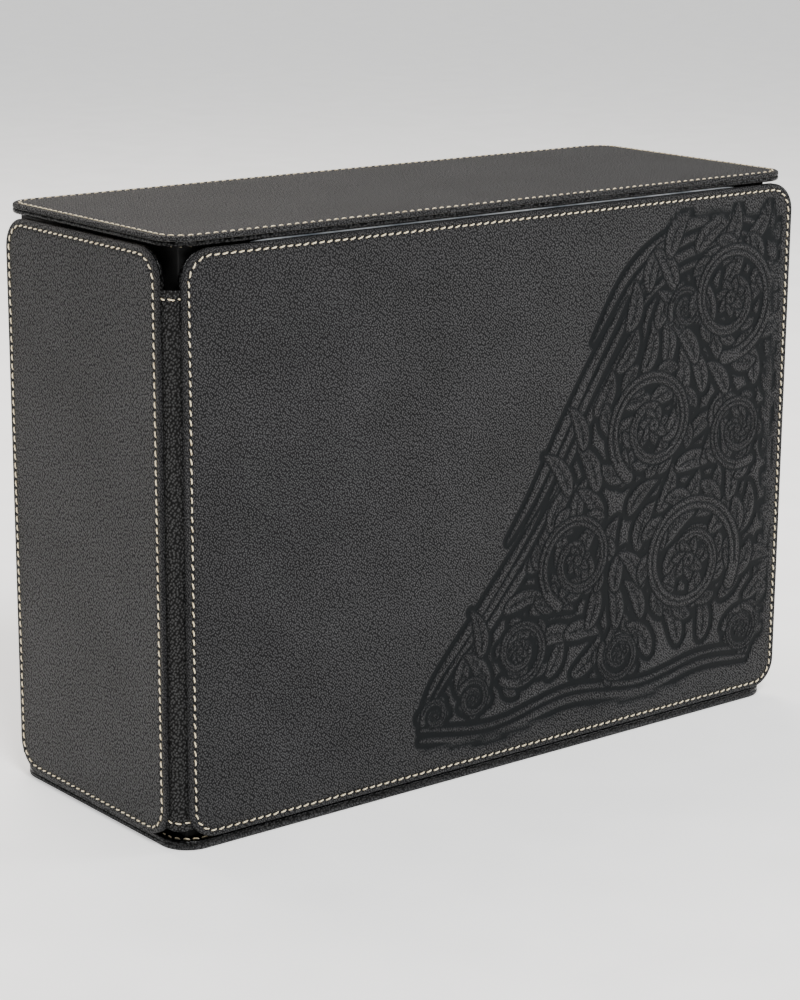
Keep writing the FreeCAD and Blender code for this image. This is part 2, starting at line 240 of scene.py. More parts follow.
# ------------------------------------------------------------------ finishes
@dataclass(frozen=True)
class PebbleLeatherette:
    """PVC leatherette, calendered over an engraved roller with a pebble grain.

    The eye gets soft grey glints on rounded pebbles, near-black creases between them, and a smooth,
    darker, slightly blue face wherever a hot stamp has pressed the grain flat.  The creases' darkness
    and their duller gloss are painted shade.
    """

    name: str = "pebble_leatherette"
    pebble_mm: float = 0.82
    fine_mm: float = 0.35
    mottle_mm: float = 38.0
    # the bump's height, set so that the grain's light and shade carry at arm's length
    relief_mm: float = 0.6
    crease_shade: str = "#131314"
    pebble: str = "#323233"
    pressed: str = "#05080a"
    roughness: float = 0.48
    pressed_roughness: float = 0.5
    gloss: float = 0.44
    shaded_crease_gloss: float = 0.12
    pressed_gloss: float = 0.1
    wander: float = 0.22
    disorder: float = 0.72
    lean: float = 0.6
    squeeze: float = 0.88

    def material(self) -> bpy.types.Material:
        """Build the finish.

        Returns:
            The material; it reads the mesh attributes "pressed", 0 on grain and 1 on stamped
            leather and in needle holes, whose dark colour there is painted shade, and "laid_out", each
            point's place on the flat sheet before it was wrapped.
        """
        material, tree, output = new_material(self.name)
        place = add_node(tree, "Attribute", {"attribute_name": "laid_out"}).outputs["Vector"]
        stretch = add_node(
            tree,
            "Mapping",
            {"Rotation": (0.0, 0.0, self.lean), "Scale": (1.0, self.squeeze, 1.0)},
            {"Vector": place},
        ).outputs[0]
        wander = add_node(
            tree,
            "TexNoise",
            {"Scale": per_metre(self.pebble_mm * 2.2), "Detail": 2.0},
            {"Vector": stretch},
        )
        push = add_node(
            tree,
            "VectorMath",
            {"operation": "MULTIPLY_ADD", 1: (self.pebble_mm * MM * self.wander,) * 3},
            {0: wander.outputs["Color"], 2: stretch},
        )
        cells = add_node(
            tree,
            "TexVoronoi",
            {
                "voronoi_dimensions": "2D",
                "feature": "F1",
                "Scale": per_metre(self.pebble_mm),
                "Randomness": self.disorder,
            },
            {"Vector": push.outputs[0]},
        )
        dome = add_node(
            tree,
            "MapRange",
            {
                "interpolation_type": "SMOOTHSTEP",
                "From Min": 0.05,
                "From Max": 0.62,
                "To Min": 1.0,
                "To Max": 0.0,
            },
            {"Value": cells.outputs["Distance"]},
        )
        fine = add_node(
            tree, "TexNoise", {"Scale": per_metre(self.fine_mm), "Detail": 2.0}, {"Vector": place}
        )
        grain = add_node(
            tree,
            "Math",
            {"operation": "MULTIPLY_ADD", 1: 0.22},
            {0: fine.outputs["Fac"], 2: dome.outputs[0]},
        )
        pressed = add_node(tree, "Attribute", {"attribute_name": "pressed"}).outputs["Fac"]
        raised = add_node(
            tree, "Math", {"operation": "SUBTRACT", 0: 1.0, "use_clamp": True}, {1: pressed}
        )
        height = add_node(
            tree, "Math", {"operation": "MULTIPLY"}, {0: grain.outputs[0], 1: raised.outputs[0]}
        )
        bump = add_node(
            tree,
            "Bump",
            {"Strength": 1.0, "Distance": self.relief_mm * MM},
            {"Height": height.outputs[0]},
        )
        # painted shade: the colour darkens from the pebble tops down into the creases between them
        colour = ramp(tree, grain.outputs[0], [(0.0, self.crease_shade), (1.0, self.pebble)])
        mottle = add_node(
            tree,
            "TexNoise",
            {"Scale": per_metre(self.mottle_mm), "Detail": 5.0, "Roughness": 0.72},
            {"Vector": place},
        )
        light = add_node(
            tree,
            "MapRange",
            {"From Min": 0.3, "From Max": 0.7, "To Min": 0.7, "To Max": 1.3},
            {"Value": mottle.outputs["Fac"]},
        )
        shade = add_node(
            tree,
            "Mix",
            {"data_type": "RGBA", "blend_type": "MULTIPLY", 0: 1.0},
            {6: colour.outputs["Color"], 7: light.outputs[0]},
        )
        # the stamped face's own darker colour; in the needle holes the same colour is painted shade
        stamped = add_node(
            tree,
            "Mix",
            {"data_type": "RGBA", 7: linear(self.pressed)},
            {0: pressed, 6: shade.outputs[2]},
        )
        rough = add_node(
            tree,
            "MapRange",
            {"To Min": self.roughness, "To Max": self.pressed_roughness},
            {"Value": pressed},
        )
        # painted shade: the gloss fades into the creases, as if their reflections lay in shade
        crease_shaded_gloss = add_node(
            tree,
            "MapRange",
            {"From Min": 0.15, "To Min": self.shaded_crease_gloss * self.gloss, "To Max": self.gloss},
            {"Value": grain.outputs[0]},
        )
        gloss = add_node(
            tree,
            "Mix",
            {"data_type": "FLOAT", 3: self.pressed_gloss},
            {0: pressed, 2: crease_shaded_gloss.outputs[0]},
        )
        shader = add_node(
            tree,
            "BsdfPrincipled",
            {"IOR": 1.5},
            {
                "Base Color": stamped.outputs[2],
                "Roughness": rough.outputs[0],
                "Specular IOR Level": gloss.outputs[0],
                "Normal": bump.outputs[0],
            },
        )
        tree.links.new(shader.outputs[0], output.inputs["Surface"])
        return material


@dataclass(frozen=True)
class WaxedThread:
    """Bonded polyester thread, two plies twisted and waxed.

    The eye gets a warm ivory with a soft sheen, darker in the twist, and painted shade darkens it where
    it dives into a hole.
    """

    name: str = "ivory_thread"
    ply_mm: float = 0.45
    light: str = "#efe3c4"
    shade: str = "#b49f78"
    # painted shade for the thread where it sinks into a needle hole
    hole: str = "#2a2318"
    roughness: float = 0.5

    def material(self) -> bpy.types.Material:
        """Build the finish.

        Returns:
            The material; it reads the mesh attribute "pressed", 0 on top of a stitch, 1 in its hole,
            where it paints shade.
        """
        material, tree, output = new_material(self.name)
        place = add_node(tree, "TexCoord").outputs["Object"]
        fibre = add_node(
            tree, "TexNoise", {"Scale": per_metre(self.ply_mm), "Detail": 2.0}, {"Vector": place}
        )
        colour = ramp(tree, fibre.outputs["Fac"], [(0.3, self.shade), (0.62, self.light)])
        depth = add_node(tree, "Attribute", {"attribute_name": "pressed"}).outputs["Fac"]
        # painted shade: the thread's colour darkens towards each needle hole
        hole_shaded = add_node(
            tree,
            "Mix",
            {"data_type": "RGBA", 7: linear(self.hole)},
            {0: depth, 6: colour.outputs["Color"]},
        )
        bump = add_node(
            tree, "Bump", {"Strength": 0.4, "Distance": 0.05 * MM}, {"Height": fibre.outputs["Fac"]}
        )
        shader = add_node(
            tree,
            "BsdfPrincipled",
            {"Roughness": self.roughness, "IOR": 1.5, "Sheen Weight": 0.15},
            {"Base Color": hole_shaded.outputs[2], "Normal": bump.outputs[0]},
        )
        tree.links.new(shader.outputs[0], output.inputs["Surface"])
        return material


@dataclass(frozen=True)
class NoisyFinish:
    """A plain material whose colour, gloss and relief come from one fine noise.

    It serves bookbinder's cloth, felt, grey board, covering paper, nickel, the film's rim and the
    floor, each a value of this class with a comment on what it gives the eye.
    """

    name: str
    low: str
    high: str
    spacing_mm: float
    roughness: tuple[float, float]
    relief_mm: float
    metallic: float = 0.0
    specular: float = 0.5
    sheen: float = 0.0
    glow: float = 0.0

    def material(self) -> bpy.types.Material:
        """Build the finish.

        Returns:
            The material.
        """
        material, tree, output = new_material(self.name)
        place = add_node(tree, "TexCoord").outputs["Object"]
        noise = add_node(
            tree, "TexNoise", {"Scale": per_metre(self.spacing_mm), "Detail": 4.0}, {"Vector": place}
        )
        colour = ramp(tree, noise.outputs["Fac"], [(0.3, self.low), (0.7, self.high)])
        rough = add_node(
            tree,
            "MapRange",
            {
                "From Min": 0.3,
                "From Max": 0.7,
                "To Min": self.roughness[0],
                "To Max": self.roughness[1],
            },
            {"Value": noise.outputs["Fac"]},
        )
        bump = add_node(
            tree,
            "Bump",
            {"Strength": 0.6, "Distance": self.relief_mm * MM},
            {"Height": noise.outputs["Fac"]},
        )
        settings = {
            "Metallic": self.metallic,
            "Specular IOR Level": self.specular,
            "Sheen Weight": self.sheen,
            "Emission Strength": self.glow,
        }
        shader = add_node(
            tree,
            "BsdfPrincipled",
            settings,
            {
                "Base Color": colour.outputs["Color"],
                "Emission Color": colour.outputs["Color"],
                "Roughness": rough.outputs[0],
                "Normal": bump.outputs[0],
            },
        )
        tree.links.new(shader.outputs[0], output.inputs["Surface"])
        return material


@dataclass(frozen=True)
class ClearVinyl:
    """Soft clear PVC film, press polished.

    The eye sees through it, and it shows as bright curved glints; its pale cut edge is the
    separate glowing rim finish, a painted highlight.
    """

    name: str = "clear_vinyl"
    tint: str = "#f2f5f7"
    wave_mm: float = 26.0
    ior: float = 1.42
    alpha: float = 0.16

    def material(self) -> bpy.types.Material:
        """Build the finish.

        Returns:
            The material.
        """
        material, tree, output = new_material(self.name)
        place = add_node(tree, "TexCoord").outputs["Object"]
        wave = add_node(
            tree, "TexNoise", {"Scale": per_metre(self.wave_mm), "Detail": 1.0}, {"Vector": place}
        )
        bump = add_node(
            tree, "Bump", {"Strength": 0.35, "Distance": 0.6 * MM}, {"Height": wave.outputs["Fac"]}
        )
        haze = add_node(
            tree,
            "MapRange",
            {"From Min": 0.35, "From Max": 0.65, "To Min": 0.05, "To Max": 0.14},
            {"Value": wave.outputs["Fac"]},
        )
        shader = add_node(
            tree,
            "BsdfPrincipled",
            {
                "Base Color": linear(self.tint),
                "IOR": self.ior,
                "Transmission Weight": 1.0,
                "Alpha": self.alpha,
            },
            {"Normal": bump.outputs[0], "Roughness": haze.outputs[0]},
        )
        tree.links.new(shader.outputs[0], output.inputs["Surface"])
        return material


@dataclass
class Finishes:
    """Every finish of the box, built once."""

    # covers: pebble grain charcoal leatherette, with painted shade in its creases
    cover: bpy.types.Material = field(default_factory=lambda: PebbleLeatherette().material())
    # hinge strips: a thinner split of the same leatherette, finer and a touch darker
    # with the same painted shade in its creases as the covers
    hinge: bpy.types.Material = field(
        default_factory=lambda: PebbleLeatherette(
            "hinge_leatherette", 0.95, 0.3, 30.0, 0.5, "#0c0c0c", "#262626"
        ).material()
    )
    # lining layer: the same sheet glazed black, smooth enough to mirror along its rolled edges
    # with the same painted shade in its creases, faint on black
    lining: bpy.types.Material = field(
        default_factory=lambda: PebbleLeatherette(
            "glazed_lining_leatherette",
            1.1,
            0.3,
            30.0,
            0.06,
            "#010101",
            "#030304",
            roughness=0.28,
            gloss=0.3,
        ).material()
    )
    thread: bpy.types.Material = field(default_factory=lambda: WaxedThread().material())
    # coated bookbinder's cloth: flat black that only shows as a faint satin at a low angle
    wrap: bpy.types.Material = field(
        default_factory=lambda: NoisyFinish(
            "coated_black_cloth", "#050505", "#0b0b0b", 0.8, (0.6, 0.8), 0.06, specular=0.25
        ).material()
    )
    # pressed wool felt: deep black that swallows light, with a short dusty nap
    felt: bpy.types.Material = field(
        default_factory=lambda: NoisyFinish(
            "pressed_felt", "#0b0b0c", "#1c1c1f", 0.9, (0.9, 1.0), 0.25, specular=0.2, sheen=0.35
        ).material()
    )
    # grey board: raw grey pulp with flecks
    board: bpy.types.Material = field(
        default_factory=lambda: NoisyFinish(
            "grey_board", "#7a7873", "#94918a", 1.4, (0.85, 0.95), 0.05
        ).material()
    )
    # embossed covering paper: charcoal black, dry, with a fine leathery tooth
    paper: bpy.types.Material = field(
        default_factory=lambda: NoisyFinish(
            "covering_paper", "#161617", "#242427", 0.5, (0.55, 0.7), 0.07
        ).material()
    )
    # nickel plate: bright cool metal, tumbled
    nickel: bpy.types.Material = field(
        default_factory=lambda: NoisyFinish(
            "nickel_plate", "#b9b7b0", "#cfcdc6", 0.4, (0.22, 0.32), 0.01, metallic=1.0
        ).material()
    )
    vinyl: bpy.types.Material = field(default_factory=lambda: ClearVinyl().material())
    # the film's rolled rim: pale bluish and glowing of itself, a painted highlight along the edge
    glowing_vinyl_rim: bpy.types.Material = field(
        default_factory=lambda: NoisyFinish(
            "glowing_vinyl_rim", "#7f8790", "#f2f6fa", 16.0, (0.1, 0.2), 0.02, glow=0.3
        ).material()
    )


# ------------------------------------------------------------------ cover panels
class Facing(Enum):
    """Which way a panel's outer face looks, as its length, width and outward directions."""

    UP = ((1, 0, 0), (0, 1, 0), (0, 0, 1))
    DOWN = ((1, 0, 0), (0, -1, 0), (0, 0, -1))
    FRONT = ((1, 0, 0), (0, 0, 1), (0, -1, 0))
    BACK = ((-1, 0, 0), (0, 0, 1), (0, 1, 0))
    LEFT = ((0, -1, 0), (0, 0, 1), (-1, 0, 0))


@dataclass
class RoundedOutline:
    """A rounded rectangle about the origin, sampled so that every side holds whole steps.

    Samples run anticlockwise from the start of the bottom side.  Each straight side has the same
    samples as the inner rectangle's side, and each corner's samples turn about the corner's centre.
    """

    length: float
    width: float
    radius: float
    step: float
    stride: int = 1

    def __post_init__(self) -> None:
        """Work out the samples' feet on the inner rectangle and their outward normals."""
        self.half = np.array([self.length / 2 - self.radius, self.width / 2 - self.radius])
        along = [self.whole_steps(2 * self.half[0]), self.whole_steps(2 * self.half[1])]
        turn = max(8, round(self.radius * math.pi / 2 / self.step))
        feet, normals = [], []
        corners = [(-1, -1), (1, -1), (1, 1), (-1, 1)]
        for side in range(4):
            start = np.array(corners[side]) * self.half
            end = np.array(corners[(side + 1) % 4]) * self.half
            count = along[side % 2]
            angle = (side - 1) * math.pi / 2
            out = np.array([math.cos(angle), math.sin(angle)])
            for k in range(count):
                feet.append(start + (end - start) * k / count)
                normals.append(out)
            for k in range(turn):
                a = angle + math.pi / 2 * k / turn
                feet.append(end)
                normals.append(np.array([math.cos(a), math.sin(a)]))
        self.feet, self.normals = np.array(feet), np.array(normals)
        self.along, self.turn = along, turn

    def whole_steps(self, length: float) -> int:
        """The number of steps on a side, a whole number of strides."""
        return max(1, round(length / self.step / self.stride)) * self.stride

    def ring(self, inset: float) -> np.ndarray:
        """The outline moved in by an inset of at most the corner radius."""
        return self.feet + self.normals * (self.radius - inset)

    def distance_along(self, inset: float) -> np.ndarray:
        """How far along a ring each sample lies.

        Args:
            inset: the ring's inset from the edge.

        Returns:
            The distances from the first sample, and last the whole way round.
        """
        ring = self.ring(inset)
        steps = np.linalg.norm(np.roll(ring, -1, axis=0) - ring, axis=1)
        return np.concatenate([[0.0], np.cumsum(steps)])


@dataclass
class Stitching:
    """A lockstitch run right round a panel, a fixed inset from its edge.

    The valley and the needle hole that it pulls into the face are each a depth and a spread.
    """

    outline: RoundedOutline
    inset: float = 2.5
    pitch: float = 3.5
    thread: float = 0.58
    rise: float = 0.2
    slant: float = 0.28
    gap: float = 0.46
    rings: int = 9
    sides: int = 10
    valley: tuple[float, float] = (0.17, 0.75)
    hole: tuple[float, float] = (0.26, 0.38)

    def __post_init__(self) -> None:
        """Fit a whole number of stitches round the line."""
        self.line = self.outline.ring(self.inset)
        self.reach = self.outline.distance_along(self.inset)
        self.count = round(self.reach[-1] / self.pitch)
        self.fitted = self.reach[-1] / self.count

    def at(self, distance: np.ndarray) -> tuple[np.ndarray, np.ndarray]:
        """Points on the stitch line and its outward normals at distances along it.

        Args:
            distance: distances from the first sample.

        Returns:
            The points and the unit normals.
        """
        wrapped = np.mod(distance, self.reach[-1])
        line = np.vstack([self.line, self.line[:1]])
        out = np.vstack([self.outline.normals, self.outline.normals[:1]])
        point = np.stack([np.interp(wrapped, self.reach, line[:, k]) for k in (0, 1)], axis=-1)
        normal = np.stack([np.interp(wrapped, self.reach, out[:, k]) for k in (0, 1)], axis=-1)
        return point, normal / np.linalg.norm(normal, axis=-1, keepdims=True)

    def dip(self, inset: float) -> tuple[np.ndarray, np.ndarray]:
        """How the leatherette sinks round the stitches, for one ring of samples.

        Args:
            inset: the ring's inset from the panel's edge.

        Returns:
            The depth of each sample below the face, and how far it lies in a needle hole, 0 to 1.
        """
        off = abs(inset - self.inset)
        phase = np.mod(self.reach[:-1] + self.fitted / 2, self.fitted) - self.fitted / 2
        hole = np.exp(-(phase**2 + off**2) / (2 * self.hole[1] ** 2))
        valley = np.exp(-(off**2) / (2 * self.valley[1] ** 2))
        return self.valley[0] * valley + self.hole[0] * hole, hole

    def stitches(
        self, surface: float, outward: float, flush: bool
    ) -> tuple[np.ndarray, list, np.ndarray]:
        """Mesh every stitch on one face.

        Args:
            surface: the face's height from the seam plane.
            outward: +1 if the face looks along +Z of the panel, -1 if along -Z.
            flush: whether the thread stays below the face, as under a base.

        Returns:
            Points, faces and the depth attribute of each point.
        """
        rng = np.random.default_rng(SEED)
        t = np.linspace(0, 1, self.rings)
        starts = np.arange(self.count) * self.fitted
        s = starts[:, None] + self.gap + t[None, :] * (self.fitted - 2 * self.gap)
        centre, normal = self.at(s)
        unevenness = 1 + 0.25 * rng.standard_normal(self.count)
        lean = self.slant * unevenness[:, None] * (1 - 2 * t)[None, :]
        centre = centre + normal * lean[..., None]
        arch = 1 - np.abs(2 * t - 1) ** STITCH_ARCH
        top = -0.32 if flush else self.rise * 0.35
        lift = np.broadcast_to((top + STITCH_ROOT) * arch - STITCH_ROOT, (self.count, self.rings))
        swell = self.thread / 2 * (0.72 + 0.28 * arch)
        angle = np.linspace(0, 2 * math.pi, self.sides, endpoint=False)
        ply = 1 + PLY_SWELL * np.cos(2 * (angle[None, :] - PLY_TWIST * t[:, None]))
        radius = swell[:, None] * ply
        across = radius * np.cos(angle)[None, :]
        up = radius * np.sin(angle)[None, :] * THREAD_SQUASH
        points = np.empty((self.count, self.rings, self.sides, 3))
        points[..., :2] = centre[:, :, None, :] + normal[:, :, None, :] * across[None, :, :, None]
        points[..., 2] = surface + outward * (lift[:, :, None] + up[None, :, :])
        # painted shade: the thread is marked darker towards its ends, where it dives into the holes
        depth = np.broadcast_to((1 - arch)[None, :, None] ** 2, points.shape[:3])
        faces = []
        for stitch in range(self.count):
            base = stitch * self.rings * self.sides
            for ring in range(self.rings - 1):
                first = base + ring * self.sides
                for k in range(self.sides):
                    a, b = first + k, first + (k + 1) % self.sides
                    faces.append((a, b, b + self.sides, a + self.sides))
            last = base + (self.rings - 1) * self.sides
            faces.append(tuple(range(base + self.sides - 1, base - 1, -1)))
            faces.append(tuple(range(last, last + self.sides)))
        return points.reshape(-1, 3), faces, depth.reshape(-1)


@dataclass
class CoverPanel:
    """Two wrapped boards sewn back to back, with rolled edges, a stitch valley and needle holes."""

    name: str
    body: str
    facing: Facing
    radius: float = 12.0
    step: float = 0.5
    stride: int = 8
    edge_roll: float = 0.85
    seam_roll: float = 0.5
    seam_gap: float = 0.04
    sunk_thread: bool = False
    ornament: Callable[[np.ndarray], np.ndarray] | None = None
    stamp_margin: float = 5.0
    stamp_depth: float = 0.42

    def __post_init__(self) -> None:
        """Read the panel's size and place from its skins."""
        low, high = box_mm(self.name + "_outer_skin", self.name + "_inner_skin")
        self.axes = np.array(self.facing.value, float)
        extent = np.abs(self.axes) @ (high - low)
        self.centre, self.thick = (low + high) / 2, extent[2] / 2
        self.length, self.width = extent[0], extent[1]

    def to_world(self, points: np.ndarray) -> np.ndarray:
        """Panel coordinates to the frame's, both in millimetres."""
        return self.centre + points @ self.axes

    def insets(self) -> list[tuple[float, float]]:
        """The layer's section, from the face over the rolled edge to the seam.

        Returns:
            The inset from the panel's edge and the drop below the face, ring by ring.
        """
        face = [9.5, 7.5, 6.0, 5.0, 4.2, 3.65, 3.3, 3.0, 2.74, 2.5, 2.26, 2.0, 1.7, 1.4, 1.1]
        rows = [(d, 0.0) for d in face]
        for k in range(6):
            a = k / 5 * math.pi / 2
            rows.append((self.edge_roll * (1 - math.sin(a)), self.edge_roll * (1 - math.cos(a))))
        seam = self.thick - self.seam_gap
        for k in range(4):
            a = k / 3 * math.pi / 2
            rows.append((self.seam_roll * (1 - math.cos(a)), seam - self.seam_roll * (1 - math.sin(a))))
        rows.append((3.0, seam))
        return rows

    def layer(self, side: str, finish: bpy.types.Material) -> None:
        """Build one wrapped layer.

        Args:
            side: outer or inner.
            finish: its leatherette.
        """
        outward = 1.0 if side == "outer" else -1.0
        decorated = self.ornament is not None and side == "outer"
        outline = RoundedOutline(
            self.length, self.width, self.radius, self.step, 1 if decorated else self.stride
        )
        stitching = Stitching(outline)
        count = len(outline.feet)
        points, pressed, laid, faces = [], [], [], []
        rows = self.insets()
        for inset, drop in rows:
            ring = outline.ring(inset)
            on_face = drop < 1e-6
            dip, hole = stitching.dip(inset) if on_face else (np.zeros(count), np.zeros(count))
            points.append(np.column_stack([ring, outward * (self.thick - drop - dip)]))
            # painted shade: the needle holes are marked to take the dark stamped colour
            pressed.append(np.clip(hole * 1.3, 0, 1) if on_face else np.zeros(count))
            wrapped = drop if inset < TURN_IN or on_face else drop + inset
            laid.append(ring + outline.normals * wrapped)
        number = np.arange(count)
        for k in range(len(rows) - 1):
            a, b = k * count + number, k * count + (number + 1) % count
            faces.extend(np.column_stack([a, a + count, b + count, b]).tolist())
        last = (len(rows) - 1) * count + number
        faces.append(last[::-1].tolist())
        self.close_face(outline, outward, points, pressed, faces)
        flat = np.vstack(points)
        amount = np.concatenate(pressed)
        # each sheet is cut from its own place on the roll, so that no two show the same grain
        cut_from = outward * self.centre[:2] * 3.1 + self.centre[2]
        sheet = np.vstack([*laid, points[-1][:, :2]]) + cut_from
        if decorated:
            from_edge = (np.array([self.length, self.width]) / 2 - np.abs(flat[:, :2])).min(axis=1)
            depth = self.ornament(flat[:, :2]) * np.clip(from_edge - self.stamp_margin, 0, 1)
            top = flat[:, 2] > self.thick - 0.5
            flat[:, 2] -= np.where(top, depth * self.stamp_depth, 0.0)
            amount = np.maximum(amount, np.where(top, depth, 0.0))
        if outward < 0:
            faces = [f[::-1] for f in faces]
        piece = mesh_object("%s_%s_leatherette" % (self.name, side), self.to_world(flat), faces)
        mark_sheet(piece, amount, sheet)
        finish_piece(piece, self.body, [finish], ["%s_%s_skin" % (self.name, side)])

    def close_face(
        self, outline: RoundedOutline, outward: float, points: list, pressed: list, faces: list
    ) -> None:
        """Fill the face inside the corners with a grid whose border meets every sample.

        Args:
            outline: the panel's outline.
            outward: +1 or -1, the way the face looks.
            points: rings of points so far; the grid is added.
            pressed: the pressed amount of each ring; zeros are added.
            faces: the faces so far; the grid's are added.
        """
        count, stride = len(outline.feet), outline.stride
        offset = sum(len(p) for p in points)
        nx, ny = outline.along[0], outline.along[1]
        keep_x, keep_y = np.arange(0, nx + 1), np.arange(0, ny + 1)
        hx, hy = outline.half
        number = -np.ones((nx + 1, ny + 1), int)
        border = np.zeros((nx + 1, ny + 1), bool)
        border[[0, -1], :] = True
        border[:, [0, -1]] = True
        wanted = border | ((keep_x[:, None] % stride == 0) & (keep_y[None, :] % stride == 0))
        gx, gy = np.nonzero(wanted)
        number[gx, gy] = offset + np.arange(len(gx))
        xy = np.column_stack([-hx + 2 * hx * gx / nx, -hy + 2 * hy * gy / ny])
        points.append(np.column_stack([xy, np.full(len(gx), outward * self.thick)]))
        pressed.append(np.zeros(len(gx)))
        # the samples' feet, as grid numbers, in the outline's own order
        walk = (
            [number[k, 0] for k in range(nx)]
            + [number[nx, 0]] * outline.turn
            + [number[nx, k] for k in range(ny)]
            + [number[nx, ny]] * outline.turn
            + [number[nx - k, ny] for k in range(nx)]
            + [number[0, ny]] * outline.turn
            + [number[0, ny - k] for k in range(ny)]
            + [number[0, 0]] * outline.turn
        )
        for k in range(count):
            a, b = walk[k], walk[(k + 1) % count]
            c, d = k, (k + 1) % count
            faces.append((a, c, d, b) if a != b else (a, c, d))
        for x0 in range(0, nx, stride):
            for y0 in range(0, ny, stride):
                x1, y1 = x0 + stride, y0 + stride
                loop = [(x, y0) for x in range(x0, x1)] + [(x1, y) for y in range(y0, y1)]
                loop += [(x, y1) for x in range(x1, x0, -1)] + [(x0, y) for y in range(y1, y0, -1)]
                faces.append([n for n in (number[p] for p in loop) if n >= 0])

    def thread(self, finish: bpy.types.Material) -> None:
        """Sew the panel: every visible stitch of both faces, as one piece.

        Args:
            finish: the thread's finish.
        """
        outline = RoundedOutline(self.length, self.width, self.radius, self.step, self.stride)
        stitching = Stitching(outline)
        points, faces, depth = stitching.stitches(self.thick, 1.0, self.sunk_thread)
        under, more, deep = stitching.stitches(-self.thick, -1.0, False)
        shift = len(points)
        faces = faces + [tuple(n + shift for n in f[::-1]) for f in more]
        placed = self.to_world(np.vstack([points, under]))
        piece = mesh_object(self.name + "_stitches", placed, faces)
        mark_sheet(piece, np.concatenate([depth, deep]))
        finish_piece(piece, self.body, [finish], [self.name + "_stitching"])

    def build(self, finishes: Finishes) -> None:
        """Build both layers and their stitches.

        Args:
            finishes: the box's finishes.
        """
        self.layer("outer", finishes.cover)
        self.layer("inner", finishes.lining)
        self.thread(finishes.thread)


